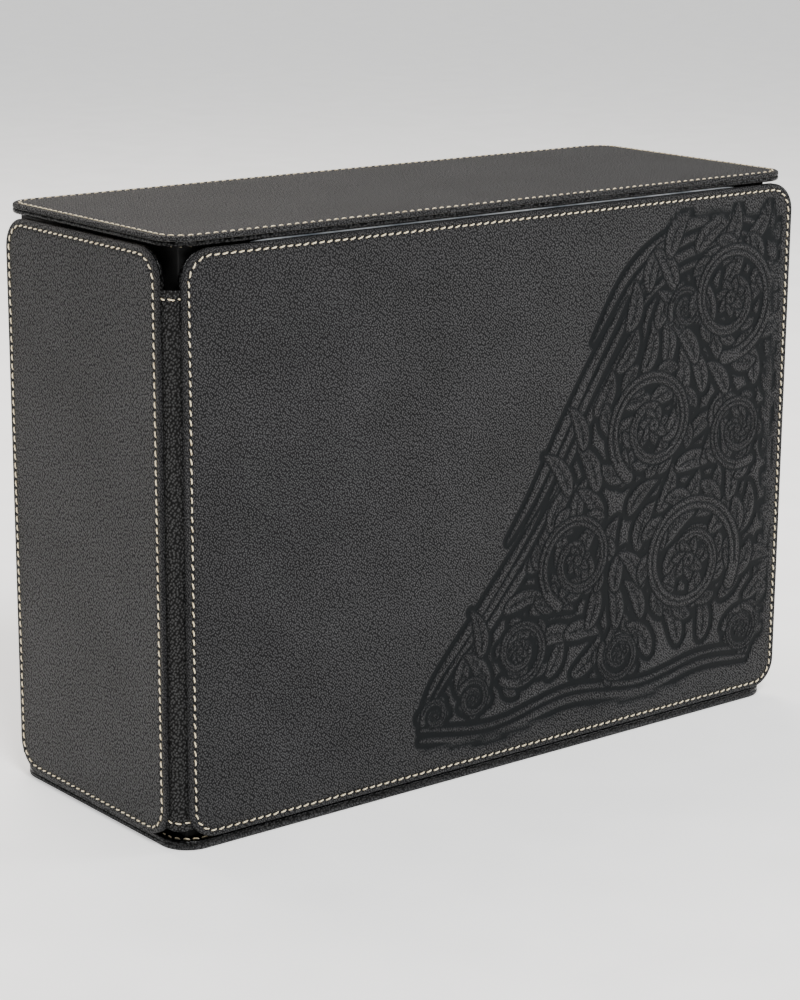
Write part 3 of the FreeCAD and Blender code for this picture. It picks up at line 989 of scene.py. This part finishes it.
# ------------------------------------------------------------------ stamped ornament
@dataclass
class StampedScrollwork:
    """Hot-stamped acanthus scrolls that fill the cover's lower right and sweep up its right side.

    Shapes lie over one another like cut paper.  Each presses a narrow line round itself and leaves
    its own face grained, and the ground close to the shapes is pressed smooth.  All positions are in
    the panel's own coordinates, from its centre.
    """

    cell: float = 0.35
    low: tuple[float, float] = (-62.0, -104.0)
    high: tuple[float, float] = (152.0, 106.0)
    wall: float = 0.28
    outline: float = 0.95
    ground: float = 2.7

    def __post_init__(self) -> None:
        """Lay out the stamp on a fine grid, the lowest shapes first."""
        self.size = [int((h - l) / self.cell) + 1 for l, h in zip(self.low, self.high)]
        self.depth = np.zeros(self.size)
        self.near = np.full(self.size, 99.0)
        arch = [(-46, -93), (-38, -72), (-15, -43), (10, -8), (28, 26), (44, 55), (62, 82)]
        self.edge = self.through([*arch, (88, 97), (116, 101), (138, 97)], 1.0)
        self.lay_sweeps()
        self.lay_borders()
        self.lay_undergrowth()
        self.lay_scrolls()
        ground = self.soft(self.near - self.ground) * (1 - self.soft(self.near))
        self.depth = np.maximum(self.depth, ground)

    def soft(self, away: np.ndarray) -> np.ndarray:
        """1 inside an edge and 0 outside, eased over the stamp's sloping wall."""
        t = np.clip(0.5 - away / (2 * self.wall), 0, 1)
        return t * t * (3 - 2 * t)

    def distance(
        self, line: np.ndarray, half: np.ndarray
    ) -> tuple[tuple[slice, slice], np.ndarray]:
        """Signed distance from a stroke's edge over the stroke's own window of the grid.

        Args:
            line: the stroke's centre line.
            half: its half width at each point.

        Returns:
            The window and the distances in it.
        """
        reach = self.ground + 0.8
        pad = half.max() + reach
        first = np.clip(((line.min(0) - pad - self.low) / self.cell).astype(int), 0, self.size)
        last = np.clip(((line.max(0) + pad - self.low) / self.cell).astype(int) + 1, 0, self.size)
        xs = self.low[0] + np.arange(first[0], last[0]) * self.cell
        ys = self.low[1] + np.arange(first[1], last[1]) * self.cell
        away = np.full((len(xs), len(ys)), 99.0)
        for a, b, ha, hb in zip(line, line[1:], half, half[1:]):
            pad = max(ha, hb) + reach
            p0, p1 = np.searchsorted(xs, (min(a[0], b[0]) - pad, max(a[0], b[0]) + pad))
            q0, q1 = np.searchsorted(ys, (min(a[1], b[1]) - pad, max(a[1], b[1]) + pad))
            gx, gy, d = xs[p0:p1, None] - a[0], ys[None, q0:q1] - a[1], b - a
            t = np.clip((gx * d[0] + gy * d[1]) / max(float(d @ d), 1e-9), 0, 1)
            part = away[p0:p1, q0:q1]
            off = np.hypot(gx - t * d[0], gy - t * d[1]) - (ha + t * (hb - ha))
            np.minimum(part, off, out=part)
        return (slice(first[0], last[0]), slice(first[1], last[1])), away

    def leave_raised(self, line: np.ndarray, half: np.ndarray) -> None:
        """Lay a grained shape over what is there, with a pressed line round it.

        Args:
            line: the shape's centre line.
            half: its half width at each point.
        """
        where, away = self.distance(line, half)
        round_it = np.maximum(self.depth[where], self.soft(away - self.outline))
        self.depth[where] = round_it * (1 - self.soft(away))
        np.minimum(self.near[where], away, out=self.near[where])

    def press(self, line: np.ndarray, half: np.ndarray) -> None:
        """Press a smooth groove."""
        where, away = self.distance(line, half)
        self.depth[where] = np.maximum(self.depth[where], self.soft(away))

    @staticmethod
    def through(knots: Sequence[Sequence[float]], spacing: float) -> np.ndarray:
        """A smooth curve through some knots.

        Args:
            knots: the knots, in order.
            spacing: the distance between its points.

        Returns:
            Its points at that even spacing.
        """
        k = np.array(knots, float)
        k = np.vstack([2 * k[0] - k[1], k, 2 * k[-1] - k[-2]])
        t = np.linspace(0, 1, 40, endpoint=False)[:, None]
        spans = []
        for p0, p1, p2, p3 in zip(k, k[1:], k[2:], k[3:]):
            square = (2 * p0 - 5 * p1 + 4 * p2 - p3) * t**2
            cubic = (3 * p1 - p0 - 3 * p2 + p3) * t**3
            spans.append(0.5 * (2 * p1 + (p2 - p0) * t + square + cubic))
        line = np.vstack([*spans, k[-2:-1]])
        run = np.concatenate([[0], np.cumsum(np.linalg.norm(np.diff(line, axis=0), axis=1))])
        even = np.arange(0, run[-1], spacing)
        return np.stack([np.interp(even, run, line[:, c]) for c in (0, 1)], axis=-1)

    def leaf(
        self, foot: np.ndarray, heading: float, length: float, half: float, curl: float
    ) -> None:
        """One pointed, curling leaf with a midrib and side veins.

        Args:
            foot: where it starts.
            heading: its first direction, in degrees.
            length: its length.
            half: its greatest half width.
            curl: how far it turns on the way to its tip, in degrees.
        """
        t = np.linspace(0, 1, 18)
        turn = np.radians(heading + curl * t)
        step = np.column_stack([np.cos(turn), np.sin(turn)]) * length / 17
        line = np.asarray(foot) + np.vstack([[0, 0], np.cumsum(step[:-1], axis=0)])
        body = half * np.sin(math.pi * t**0.72) ** 0.85 + 0.12
        self.leave_raised(line, body)
        if length < 5:
            return
        self.press(line[2:-3], np.linspace(0.42, 0.15, len(line) - 5))
        if half < 2.7:
            return
        for at in (4, 7, 10, 12):
            for hand in (-1, 1):
                a = turn[at] + hand * math.radians(40)
                end = line[at] + np.array([math.cos(a), math.sin(a)]) * body[at] * 0.82
                self.press(np.array([line[at], end]), np.array([0.34, 0.12]))

    def flower(self, centre: np.ndarray, radius: float) -> None:
        """A rosette of petals round a ball.

        Args:
            centre: its middle.
            radius: its petals' length.
        """
        for k in range(7):
            self.leaf(centre, 51.4 * k + 10, radius, radius * 0.27, 18)
        self.leave_raised(np.array([centre, centre + 0.01]), np.full(2, radius * 0.3))
        self.press(np.array([centre, centre + 0.01]), np.full(2, radius * 0.1))

    def scroll(
        self, centre: Sequence[float], radius: float, start: float, hand: int, turns: float = 1.45
    ) -> None:
        """A leafy scroll: a stem that winds in to a rosette, with leaves springing from it.

        Args:
            centre: the rosette's place.
            radius: the scroll's radius at its start.
            start: the direction of its start from the centre, in degrees.
            hand: +1 to wind anticlockwise, -1 clockwise.
            turns: how often it winds.
        """
        t = np.linspace(0, 1, max(50, int(radius * 4)))
        angle = np.radians(start + hand * 360 * turns * t)
        out = np.column_stack([np.cos(angle), np.sin(angle)])
        reach = radius * (0.3 + 0.7 * (1 - t) ** 0.9)
        line = np.array(centre) + out * reach[:, None]
        leaves = max(6, int(radius * 0.4))
        for k in reversed(range(leaves)):
            at = int((0.02 + 0.8 * k / leaves) * len(t))
            along = math.degrees(angle[at]) + hand * 90
            size = radius * (0.6 - 0.32 * t[at])
            self.leaf(line[at], along - hand * 50, size, size * 0.25, hand * 70)
            if k % 2 == 0 and t[at] < 0.55:
                self.leaf(line[at], along + hand * 34, size * 0.72, size * 0.17, hand * 30)
        body = 0.085 * radius * (1 - 0.5 * t) + 0.4
        self.leave_raised(line, body)
        self.press(line[4:-6], np.linspace(0.45, 0.2, len(line) - 10))
        self.flower(np.array(centre, float), radius * 0.33)

    def inward(
        self, first: float, last: float, inset_first: float, inset_last: float
    ) -> np.ndarray:
        """Part of the stamp's arched edge, moved inwards.

        Args:
            first: where the part starts, as a share of the edge.
            last: where it ends.
            inset_first: how far its start moves inwards.
            inset_last: how far its end does.

        Returns:
            Its points.
        """
        count = len(self.edge)
        part = np.linspace(first, last, max(12, int((last - first) * 90))) * (count - 1)
        along = np.arange(count)
        line = np.stack([np.interp(part, along, self.edge[:, c]) for c in (0, 1)], axis=-1)
        tangent = np.gradient(line, axis=0)
        tangent /= np.linalg.norm(tangent, axis=1, keepdims=True)
        inset = np.linspace(inset_first, inset_last, len(line))[:, None]
        return line + np.column_stack([tangent[:, 1], -tangent[:, 0]]) * inset

    def lay_sweeps(self) -> None:
        """Sweep tapering bands up the arched edge, in three overlapping sheaves."""
        for first, last, inset_first, inset_last, half in (
            (0.60, 1.00, -1.5, 5.5, 1.7),
            (0.56, 0.99, 2.5, 11.0, 1.3),
            (0.62, 0.97, 8.5, 16.5, 1.6),
            (0.66, 0.93, 14.0, 21.5, 0.9),
            (0.30, 0.68, -2.5, 5.5, 1.8),
            (0.33, 0.71, 2.5, 11.5, 1.3),
            (0.38, 0.66, 8.0, 17.0, 1.5),
            (0.03, 0.36, -1.0, 5.5, 1.6),
            (0.06, 0.40, 3.0, 10.5, 1.2),
            (0.10, 0.38, 7.5, 15.0, 1.5),
        ):
            line = self.inward(first, last, inset_first, inset_last)
            s = np.linspace(0, 1, len(line))
            self.leave_raised(line, half * np.sin(math.pi * s) ** 0.7 + 0.1)

    def lay_borders(self) -> None:
        """Bind the right side with a leafy stem and the foot with two waving bands."""
        upright = [(134, -90), (141, -66), (145, -26), (142, 18), (144, 60), (139, 98)]
        side = self.through(upright, 1.0)
        for k, point in enumerate(side[8:-6:7]):
            self.leaf(point, 90 + (38 if k % 2 else -34), 9.0, 1.7, -20 if k % 2 else 24)
        self.leave_raised(side, np.linspace(1.3, 0.5, len(side)))
        for shift, half in ((0.0, 1.4), (4.3, 0.9)):
            wave = [(-44, -93), (-8, -98), (32, -92), (72, -96), (106, -91), (134, -93)]
            foot = self.through([(x, y + shift) for x, y in wave], 1.0)
            s = np.linspace(0, 1, len(foot))
            self.leave_raised(foot, half * np.sin(math.pi * (0.04 + 0.92 * s)) ** 0.4)
        self.scroll((-37.0, -84.0), 6.5, 200, -1, 1.2)

    def lay_undergrowth(self) -> None:
        """Fill the field with leaves that the scrolls will partly cover."""
        rng = np.random.default_rng(SEED)
        for y in np.arange(-80, 92, 15.0):
            left = float(np.interp(y, self.edge[:, 1], self.edge[:, 0]))
            for x in np.arange(left + 18, 134, 14.5):
                foot = np.array([x, y]) + rng.uniform(-2, 2, 2)
                heading = 62 + 38 * math.sin(x / 17.0 + y / 23.0) + rng.uniform(-8, 8)
                length, half = rng.uniform(18, 24), rng.uniform(3.0, 3.9)
                self.leaf(foot, heading, length, half, rng.choice((-60, 60)))

    def lay_scrolls(self) -> None:
        """Lay the scrolls, small ones first."""
        for centre, radius, start, hand in (
            ((-18, -81), 8.0, 150, -1),
            ((92, 62), 9.0, 200, -1),
            ((130, -80), 10.0, 80, -1),
            ((60, -78), 11.0, 150, 1),
            ((6, -66), 14.0, 230, 1),
            ((124, 8), 16.0, 300, -1),
            ((36, -34), 20.0, 240, -1),
            ((117, 64), 25.0, 265, 1),
            ((76, 16), 24.0, 235, -1),
            ((98, -44), 28.0, 330, 1),
        ):
            self.scroll(centre, radius, start, hand)

    def __call__(self, points: np.ndarray) -> np.ndarray:
        """How deep the stamp presses at some points, 0 to 1.

        Args:
            points: panel coordinates, one row each.

        Returns:
            The depth of each point.
        """
        where = (points - np.array(self.low)) / self.cell
        cell = np.floor(where).astype(int)
        good = np.all((cell >= 0) & (cell < np.array(self.size) - 1), axis=1)
        (i, j), (u, v) = cell[good].T, (where - cell)[good].T
        depth, out = self.depth, np.zeros(len(points))
        low = depth[i, j] * (1 - u) + depth[i + 1, j] * u
        out[good] = low * (1 - v) + (depth[i, j + 1] * (1 - u) + depth[i + 1, j + 1] * u) * v
        return out


# ------------------------------------------------------------------ hinge strips
@dataclass
class HingeStrip:
    """A leatherette strip let into two panels and bent round the corner between them."""

    node: str
    first: str
    second: str
    side: int
    thick: float = 0.8
    tongue: float = 8.0
    stitch_inset: float = 3.2
    pitch: float = 3.5
    gap: float = 0.34
    valley: tuple[float, float] = (0.14, 0.7)
    swell: float = 0.09

    def __post_init__(self) -> None:
        """Read the strip's corner from its CAD solid."""
        self.low, self.high = box_mm(self.node)
        self.setback = self.high[0] - self.low[0] - self.tongue
        corner_y = self.low[1] if self.side < 0 else self.high[1]
        self.centre = np.array([self.low[0] + self.setback, corner_y - self.side * self.setback])

    def path(self, along: np.ndarray, depth: float) -> np.ndarray:
        """Plan points of the strip.

        Args:
            along: distance from the end of the spine's tongue, measured on the strip's middle.
            depth: how far inside the strip's outer face the points lie.

        Returns:
            The plan points.
        """
        middle = self.setback - self.thick / 2
        arc = middle * math.pi / 2
        radius = self.setback - depth
        angle = np.clip((along - self.tongue) / middle, 0, math.pi / 2)
        straight_in = np.minimum(along - self.tongue, 0)
        straight_out = np.maximum(along - self.tongue - arc, 0)
        x = -radius * np.cos(angle) + straight_out
        y = self.side * radius * np.sin(angle) + self.side * straight_in
        return self.centre + np.column_stack([x, y])

    @property
    def run(self) -> float:
        """The strip's whole length round the corner."""
        return 2 * self.tongue + (self.setback - self.thick / 2) * math.pi / 2

    @property
    def rows(self) -> tuple[float, float]:
        """The heights of the two stitch rows."""
        return self.low[2] + self.stitch_inset, self.high[2] - self.stitch_inset

    def seam_dip(self, height: float) -> float:
        """How far the face sinks at a height, next to the stitch rows."""
        depth, spread = self.valley
        return sum(depth * math.exp(-((height - row) ** 2) / (2 * spread**2)) for row in self.rows)

    def blend(self, piece: bpy.types.Object) -> None:
        """Fix a piece's placement into its mesh, leaving it on neither body; it does not bend between
        them.

        Args:
            piece: the object.
        """
        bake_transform(piece)

    def build(self, finishes: Finishes) -> None:
        """Build the strip and the stitches across its two ends.

        Args:
            finishes: the box's finishes.
        """
        along = np.concatenate(
            [
                np.linspace(0, self.tongue, 4),
                np.linspace(self.tongue, self.run - self.tongue, 19)[1:-1],
                np.linspace(self.run - self.tongue, self.run, 4),
            ]
        )
        ends = np.array([0.0, 0.12, 0.3, 0.6, 1.2, 2.0, 2.6, 3.2, 3.8, 4.6])
        span = self.high[2] - self.low[2]
        level = np.concatenate([ends, np.linspace(6.0, span - 6.0, 60), span - ends[::-1]])
        rolled = np.clip(1 - np.minimum(level, span - level) / 0.4, 0, 1)
        pinch = self.thick / 2 * (1 - np.sqrt(1 - rolled**2))
        rows = []
        rng = np.random.default_rng(SEED + 3)
        swell = np.interp(level, np.linspace(0, span, 9), self.swell * rng.standard_normal(9))
        web = np.clip(np.minimum(along - self.tongue, self.run - self.tongue - along) / 2, 0, 1)
        for face in (0, 1):
            for z, p, w in zip(level, pinch, swell):
                dip = self.seam_dip(self.low[2] + z)
                depth = (p + dip + w * web) if face == 0 else (self.thick - p + w * web)
                middle = [self.path(along[i : i + 1], depth[i])[0] for i in range(len(along))]
                rows.append(np.column_stack([middle, np.full(len(along), self.low[2] + z)]))
        count, levels = len(along), len(level)
        points = np.vstack(rows)
        faces = []
        outer, inner = np.arange(2 * levels * count).reshape(2, levels, count).tolist()
        for j in range(levels - 1):
            for i in range(count - 1):
                faces.append((outer[j][i], outer[j + 1][i], outer[j + 1][i + 1], outer[j][i + 1]))
                faces.append((inner[j][i], inner[j][i + 1], inner[j + 1][i + 1], inner[j + 1][i]))
            for i, flip in ((0, False), (count - 1, True)):
                loop = (outer[j][i], inner[j][i], inner[j + 1][i], outer[j + 1][i])
                faces.append(loop[::-1] if flip else loop)
        for j, flip in ((0, False), (levels - 1, True)):
            for i in range(count - 1):
                loop = (outer[j][i], outer[j][i + 1], inner[j][i + 1], inner[j][i])
                faces.append(loop[::-1] if flip else loop)
        if self.side > 0:
            faces = [f[::-1] for f in faces]
        piece = mesh_object(self.node + "_leatherette", points, faces)
        sheet = np.column_stack([np.tile(along, 2 * levels), np.tile(np.repeat(level, count), 2)])
        mark_sheet(piece, np.zeros(len(points)), sheet + 400.0 * self.side)
        piece.data.materials.append(finishes.hinge)
        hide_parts(self.node)
        self.blend(piece)
        self.stitch_rows(finishes)
        LOG.info("made %s between %s and %s", piece.name, self.first, self.second)

    def stitch_rows(self, finishes: Finishes) -> None:
        """Sew a short row of stitches across each end of the web.

        Args:
            finishes: the box's finishes.
        """
        points, faces, depth_values = [], [], []
        rings, sides = 9, 10
        t = np.linspace(0, 1, rings)
        angle = np.linspace(0, 2 * math.pi, sides, endpoint=False)
        arch = 1 - np.abs(2 * t - 1) ** STITCH_ARCH
        for row, z in enumerate(self.rows):
            for k in (-1, 0, 1):
                base = sum(len(p) for p in points)
                start = self.run / 2 + (k - 0.5 + 0.1 * row) * self.pitch
                along = start + self.gap + t * (self.pitch - 2 * self.gap)
                lift = (0.07 + STITCH_ROOT) * arch - STITCH_ROOT
                swell = 0.3 * (0.72 + 0.28 * arch)
                lean = 0.2 * (1 - 2 * t)
                for ring in range(rings):
                    ply = 1 + PLY_SWELL * np.cos(2 * (angle - PLY_TWIST * t[ring]))
                    up = swell[ring] * ply * np.sin(angle) * THREAD_SQUASH
                    across = swell[ring] * ply * np.cos(angle)
                    sunk = self.valley[0] - lift[ring] - up
                    plan = np.array([self.path(along[ring : ring + 1], d)[0] for d in sunk])
                    points.append(np.column_stack([plan, z + lean[ring] + across]))
                    # painted shade: the thread is marked darker towards its ends, where it dives into
                    # the holes
                    depth_values.append(np.full(sides, (1 - arch[ring]) ** 2))
                for ring in range(rings - 1):
                    first = base + ring * sides
                    for n in range(sides):
                        a, b = first + n, first + (n + 1) % sides
                        faces.append((a, b, b + sides, a + sides))
                last = base + (rings - 1) * sides
                faces.append(tuple(range(base + sides - 1, base - 1, -1)))
                faces.append(tuple(range(last, last + sides)))
        piece = mesh_object(self.node + "_stitches", np.vstack(points), faces)
        mark_sheet(piece, np.concatenate(depth_values))
        piece.data.materials.append(finishes.thread)
        self.blend(piece)


# ------------------------------------------------------------------ wrapped boards, trays and pads
def rolled_copy(
    node: str, name: str, roll: float, segments: int, outer_only: bool = False
) -> bpy.types.Object:
    """A piece in a CAD node's shape, its sharp edges rolled as paper or cloth turns round board.

    Args:
        node: the CAD node to follow.
        name: the new piece's name.
        roll: the width of the rolled edge.
        segments: how many facets the roll has.
        outer_only: roll only the edges that lie on the piece's outer faces.

    Returns:
        The new object.
    """
    work = bmesh.new()
    work.from_mesh(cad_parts[node].data)
    bmesh.ops.remove_doubles(work, verts=work.verts, dist=0.002 * MM)
    bmesh.ops.dissolve_limit(work, angle_limit=math.radians(1), verts=work.verts, edges=work.edges)
    low, high = (np.array(c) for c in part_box(node))

    def on_outside(vertex: bmesh.types.BMVert) -> bool:
        """Whether a corner lies on the piece's outer box on at least two sides.

        Args:
            vertex: the corner.

        Returns:
            True if it does.
        """
        at = np.array(vertex.co)
        near = (np.abs(at - low) < 0.01 * MM) | (np.abs(at - high) < 0.01 * MM)
        return int(near.sum()) >= 2

    sharp = [
        edge
        for edge in work.edges
        if len(edge.link_faces) == 2
        and edge.calc_face_angle(0) > math.radians(30)
        and (not outer_only or all(on_outside(v) for v in edge.verts))
    ]
    bmesh.ops.bevel(
        work,
        geom=sharp,
        offset=roll * MM,
        segments=segments,
        profile=0.5,
        affect="EDGES",
        clamp_overlap=True,
    )
    mesh = bpy.data.meshes.new(name)
    work.to_mesh(mesh)
    work.free()
    mesh.shade_smooth()
    piece = bpy.data.objects.new(name, mesh)
    bpy.context.scene.collection.objects.link(piece)
    weighted = piece.modifiers.new("even_shading", "WEIGHTED_NORMAL")
    weighted.keep_sharp = True
    return piece


@dataclass
class InnerBox:
    """The board box that carries the trays: four walls and a floor, wrapped outside and lined inside."""

    body: str = "case"

    def build(self, finishes: Finishes) -> None:
        """Wrap and line the box.

        Args:
            finishes: the box's finishes.
        """
        wrap = rolled_copy("box_wrap", "inner_box_wrap", 0.42, 4, outer_only=True)
        finish_piece(wrap, self.body, [finishes.wrap], ["box_wrap"])
        lining = rolled_copy("box_lining", "inner_box_lining", 0.12, 2)
        finish_piece(lining, self.body, [finishes.felt], ["box_lining"])


@dataclass
class Tray:
    """One lift-out tray of paper-covered board with a felt floor and two dividers."""

    name: str

    def build(self, finishes: Finishes) -> None:
        """Build the tray's shell, felt and dividers.

        Args:
            finishes: the box's finishes.
        """
        for part, slot, finish, roll in (
            ("shell", "tray_board", finishes.paper, 0.45),
            ("felt", "black_felt", finishes.felt, 0.15),
            ("dividers", "tray_board", finishes.paper, 0.35),
        ):
            node = "%s_%s" % (self.name, part)
            piece = rolled_copy(node, node + "_covered", roll, 3)
            finish_piece(piece, self.name, [finish], [node])


@dataclass
class LidPad:
    """The felt-covered pad under the lid that drops into the mouth of the box."""

    def build(self, finishes: Finishes) -> None:
        """Build the pad's cover.

        Args:
            finishes: the box's finishes.
        """
        pad = rolled_copy("lid_pad_cover", "lid_pad_felt", 0.5, 4, outer_only=True)
        finish_piece(pad, "lid", [finishes.felt], ["lid_pad_cover"])


@dataclass
class ClearPocket:
    """A clear vinyl sheet welded inside the front cover on three sides, its open lip rolled back."""

    node: str = "front_clear_pocket"
    lip: float = 1.1
    bend: float = 0.4
    proud: float = 0.55
    weld: float = 2.2

    def build(self, finishes: Finishes) -> None:
        """Build the sheet as two skins over a fine grid.

        Args:
            finishes: the box's finishes.
        """
        low, high = box_mm(self.node)
        thick = high[1] - low[1]
        xs = np.linspace(low[0], high[0], 96)
        rise = high[2] - low[2] + self.proud
        top = rise - self.bend
        over = top + self.bend * 1.5708 * np.linspace(0, 1, 7)[1:]
        run = np.concatenate([np.linspace(0, top, 60), over, [over[-1] + self.lip]])
        gx, gs = np.meshgrid(xs, run, indexing="ij")
        from_side = np.minimum(gx - low[0], high[0] - gx)
        from_weld = np.minimum(from_side, gs)
        free = np.clip((from_weld - self.weld) / 12, 0, 1) * np.clip((rise - gs) / 12, 0, 1)
        wave = 0.3 * free * (1 + np.sin(gx / 23.0) * np.cos(gs / 31.0))
        turn = np.clip((gs - top) / self.bend, 0, math.pi / 2)
        past = np.maximum(gs - top - self.bend * math.pi / 2, 0)
        straight = np.minimum(gs, top)
        # the free lip sags a little at its two corners
        sag = 0.8 * (1 - np.clip((from_side - 16) / 12, 0, 1)) * (gs / rise)
        weld_line = 0.1 * np.exp(-((from_weld - self.weld) ** 2) / 0.5)
        skins = []
        for off in (thick / 2, -thick / 2):
            reach = self.bend + off
            y = low[1] + thick / 2 + wave - self.bend + reach * np.cos(turn) - past
            y = y - np.where(off > 0, weld_line, 0.0)
            z = low[2] + straight + reach * np.sin(turn) - sag
            skins.append((y, z))
        nx, nz = gx.shape
        sheet = [np.column_stack([gx.ravel(), y.ravel(), z.ravel()]) for y, z in reversed(skins)]
        back, front = np.arange(2 * nx * nz).reshape(2, nx, nz).tolist()
        faces = []
        for i in range(nx - 1):
            for j in range(nz - 1):
                faces.append((back[i][j], back[i + 1][j], back[i + 1][j + 1], back[i][j + 1]))
                faces.append((front[i][j], front[i][j + 1], front[i + 1][j + 1], front[i + 1][j]))
        walk = [(i, 0) for i in range(nx - 1)] + [(nx - 1, j) for j in range(nz - 1)]
        walk += [(i, nz - 1) for i in range(nx - 1, 0, -1)] + [(0, j) for j in range(nz - 1, 0, -1)]
        for (i, j), (k, m) in zip(walk, walk[1:] + walk[:1]):
            faces.append((back[k][m], back[i][j], front[i][j], front[k][m]))
        piece = mesh_object("front_clear_pocket_sheet", np.vstack(sheet), faces)
        # the faces along the top of the lip take the rim finish, a painted highlight that glows of
        # itself
        for face in piece.data.polygons:
            face.material_index = int(face.center.z > (high[2] + self.proud - 0.3) * MM)
        skins_and_rim = [finishes.vinyl, finishes.glowing_vinyl_rim]
        finish_piece(piece, "front_cover", skins_and_rim, [self.node])


def dress_sealed_nodes(finishes: Finishes) -> None:
    """Give the boards and magnets that stay as CAD solids their own finishes.

    Args:
        finishes: the box's finishes.
    """
    for name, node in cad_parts.items():
        if node.hide_render:
            continue
        finish = finishes.nickel if "magnets" in name else finishes.board
        node.data.materials.clear()
        node.data.materials.append(finish)
        LOG.info("dressed %s", name)


# ------------------------------------------------------------------ studio
@dataclass
class Studio:
    """A plain pale floor, soft lights and the camera."""

    azimuth: float = -38.576
    elevation: float = 14.479
    roll: float = 0.343
    stand: tuple[float, float, float] = (-650.3, -809.8, 366.5)
    lens_mm: float = 95.39
    floor_m: float = 120.0

    def camera(self) -> None:
        """Set the camera at its stand, looking along its azimuth and elevation."""
        az, el, roll = (math.radians(v) for v in (self.azimuth, self.elevation, self.roll))
        back = Vector((math.sin(az) * math.cos(el), -math.cos(az) * math.cos(el), math.sin(el)))
        right = Vector((math.cos(az), math.sin(az), 0.0))
        up = back.cross(right)
        turned_right = right * math.cos(roll) + up * math.sin(roll)
        turned_up = up * math.cos(roll) - right * math.sin(roll)
        data = bpy.data.cameras.new("camera")
        data.lens, data.sensor_width = self.lens_mm, 36.0
        data.clip_start, data.clip_end = 0.01, 200.0
        camera = bpy.data.objects.new("camera", data)
        bpy.context.scene.collection.objects.link(camera)
        turn = Matrix((turned_right, turned_up, back)).transposed().to_4x4()
        camera.matrix_world = Matrix.Translation(Vector(self.stand) * MM) @ turn
        bpy.context.scene.camera = camera

    def soft_light(
        self, name: str, at_m: Sequence[float], size_m: float, watts: float, colour: str
    ) -> None:
        """Add one square softbox that looks at the middle of the box.

        Args:
            name: its name.
            at_m: where it stands.
            size_m: its side.
            watts: its power.
            colour: its sRGB hex colour.
        """
        data = bpy.data.lights.new(name, "AREA")
        data.size, data.energy, data.color = size_m, watts, linear(colour)[:3]
        light = bpy.data.objects.new(name, data)
        bpy.context.scene.collection.objects.link(light)
        light.location = at_m
        aim = Vector((0.0, 0.0, 0.11)) - Vector(at_m)
        light.rotation_euler = aim.to_track_quat("-Z", "Y").to_euler()

    def floor(self) -> None:
        """Lay the pale floor that the box stands on."""
        half = self.floor_m / 2 / MM
        corners = [(-half, -half, 0), (half, -half, 0), (half, half, 0), (-half, half, 0)]
        floor = mesh_object("studio_floor", np.array(corners), [(0, 1, 2, 3)], smooth=False)
        # matt white paper lit from below: a pale even ground that hardly shows its fibres
        paper = NoisyFinish(
            "lit_paper", "#f4f4f3", "#fafaf9", 40.0, (0.85, 0.95), 0.02, specular=0.2, glow=0.6
        )
        floor.data.materials.append(paper.material())

    def build(self) -> None:
        """Light the room and set the camera."""
        world = bpy.data.worlds.new("studio")
        world.use_nodes = True
        sky = world.node_tree.nodes["Background"]
        sky.inputs["Color"].default_value = linear("#ffffff")
        sky.inputs["Strength"].default_value = 0.5
        bpy.context.scene.world = world
        self.floor()
        self.soft_light("top_box", (0.2, 0.9, 1.5), 1.2, 29.0, "#fff4ea")
        self.soft_light("key_box", (-0.62, -1.5, 1.9), 0.6, 58.0, "#ffffff")
        self.soft_light("right_box", (1.5, -0.9, 0.9), 0.5, 16.0, "#fbfcff")
        self.camera()


# ------------------------------------------------------------------ the whole
def main() -> None:
    """Build the box, piece by piece, and the studio round it."""
    logging.basicConfig(level=logging.INFO, format="%(name)s: %(message)s")
    finishes = Finishes()
    panels = (
        CoverPanel("base", "case", Facing.DOWN, sunk_thread=True),
        CoverPanel("lid", "lid", Facing.UP),
        CoverPanel("back_cover", "case", Facing.BACK),
        CoverPanel("spine", "spine", Facing.LEFT),
        CoverPanel(
            "front_cover", "front_cover", Facing.FRONT, ornament=StampedScrollwork(), step=0.45
        ),
    )
    for panel in panels:
        panel.build(finishes)
    HingeStrip("front_hinge_strip", "spine", "front_cover", side=-1).build(finishes)
    HingeStrip("back_hinge_strip", "case", "spine", side=1).build(finishes)
    InnerBox().build(finishes)
    for name in ("lower_tray", "middle_tray", "top_tray"):
        Tray(name).build(finishes)
    LidPad().build(finishes)
    ClearPocket().build(finishes)
    dress_sealed_nodes(finishes)
    Studio().build()


if __name__ == "__main__":
    main()
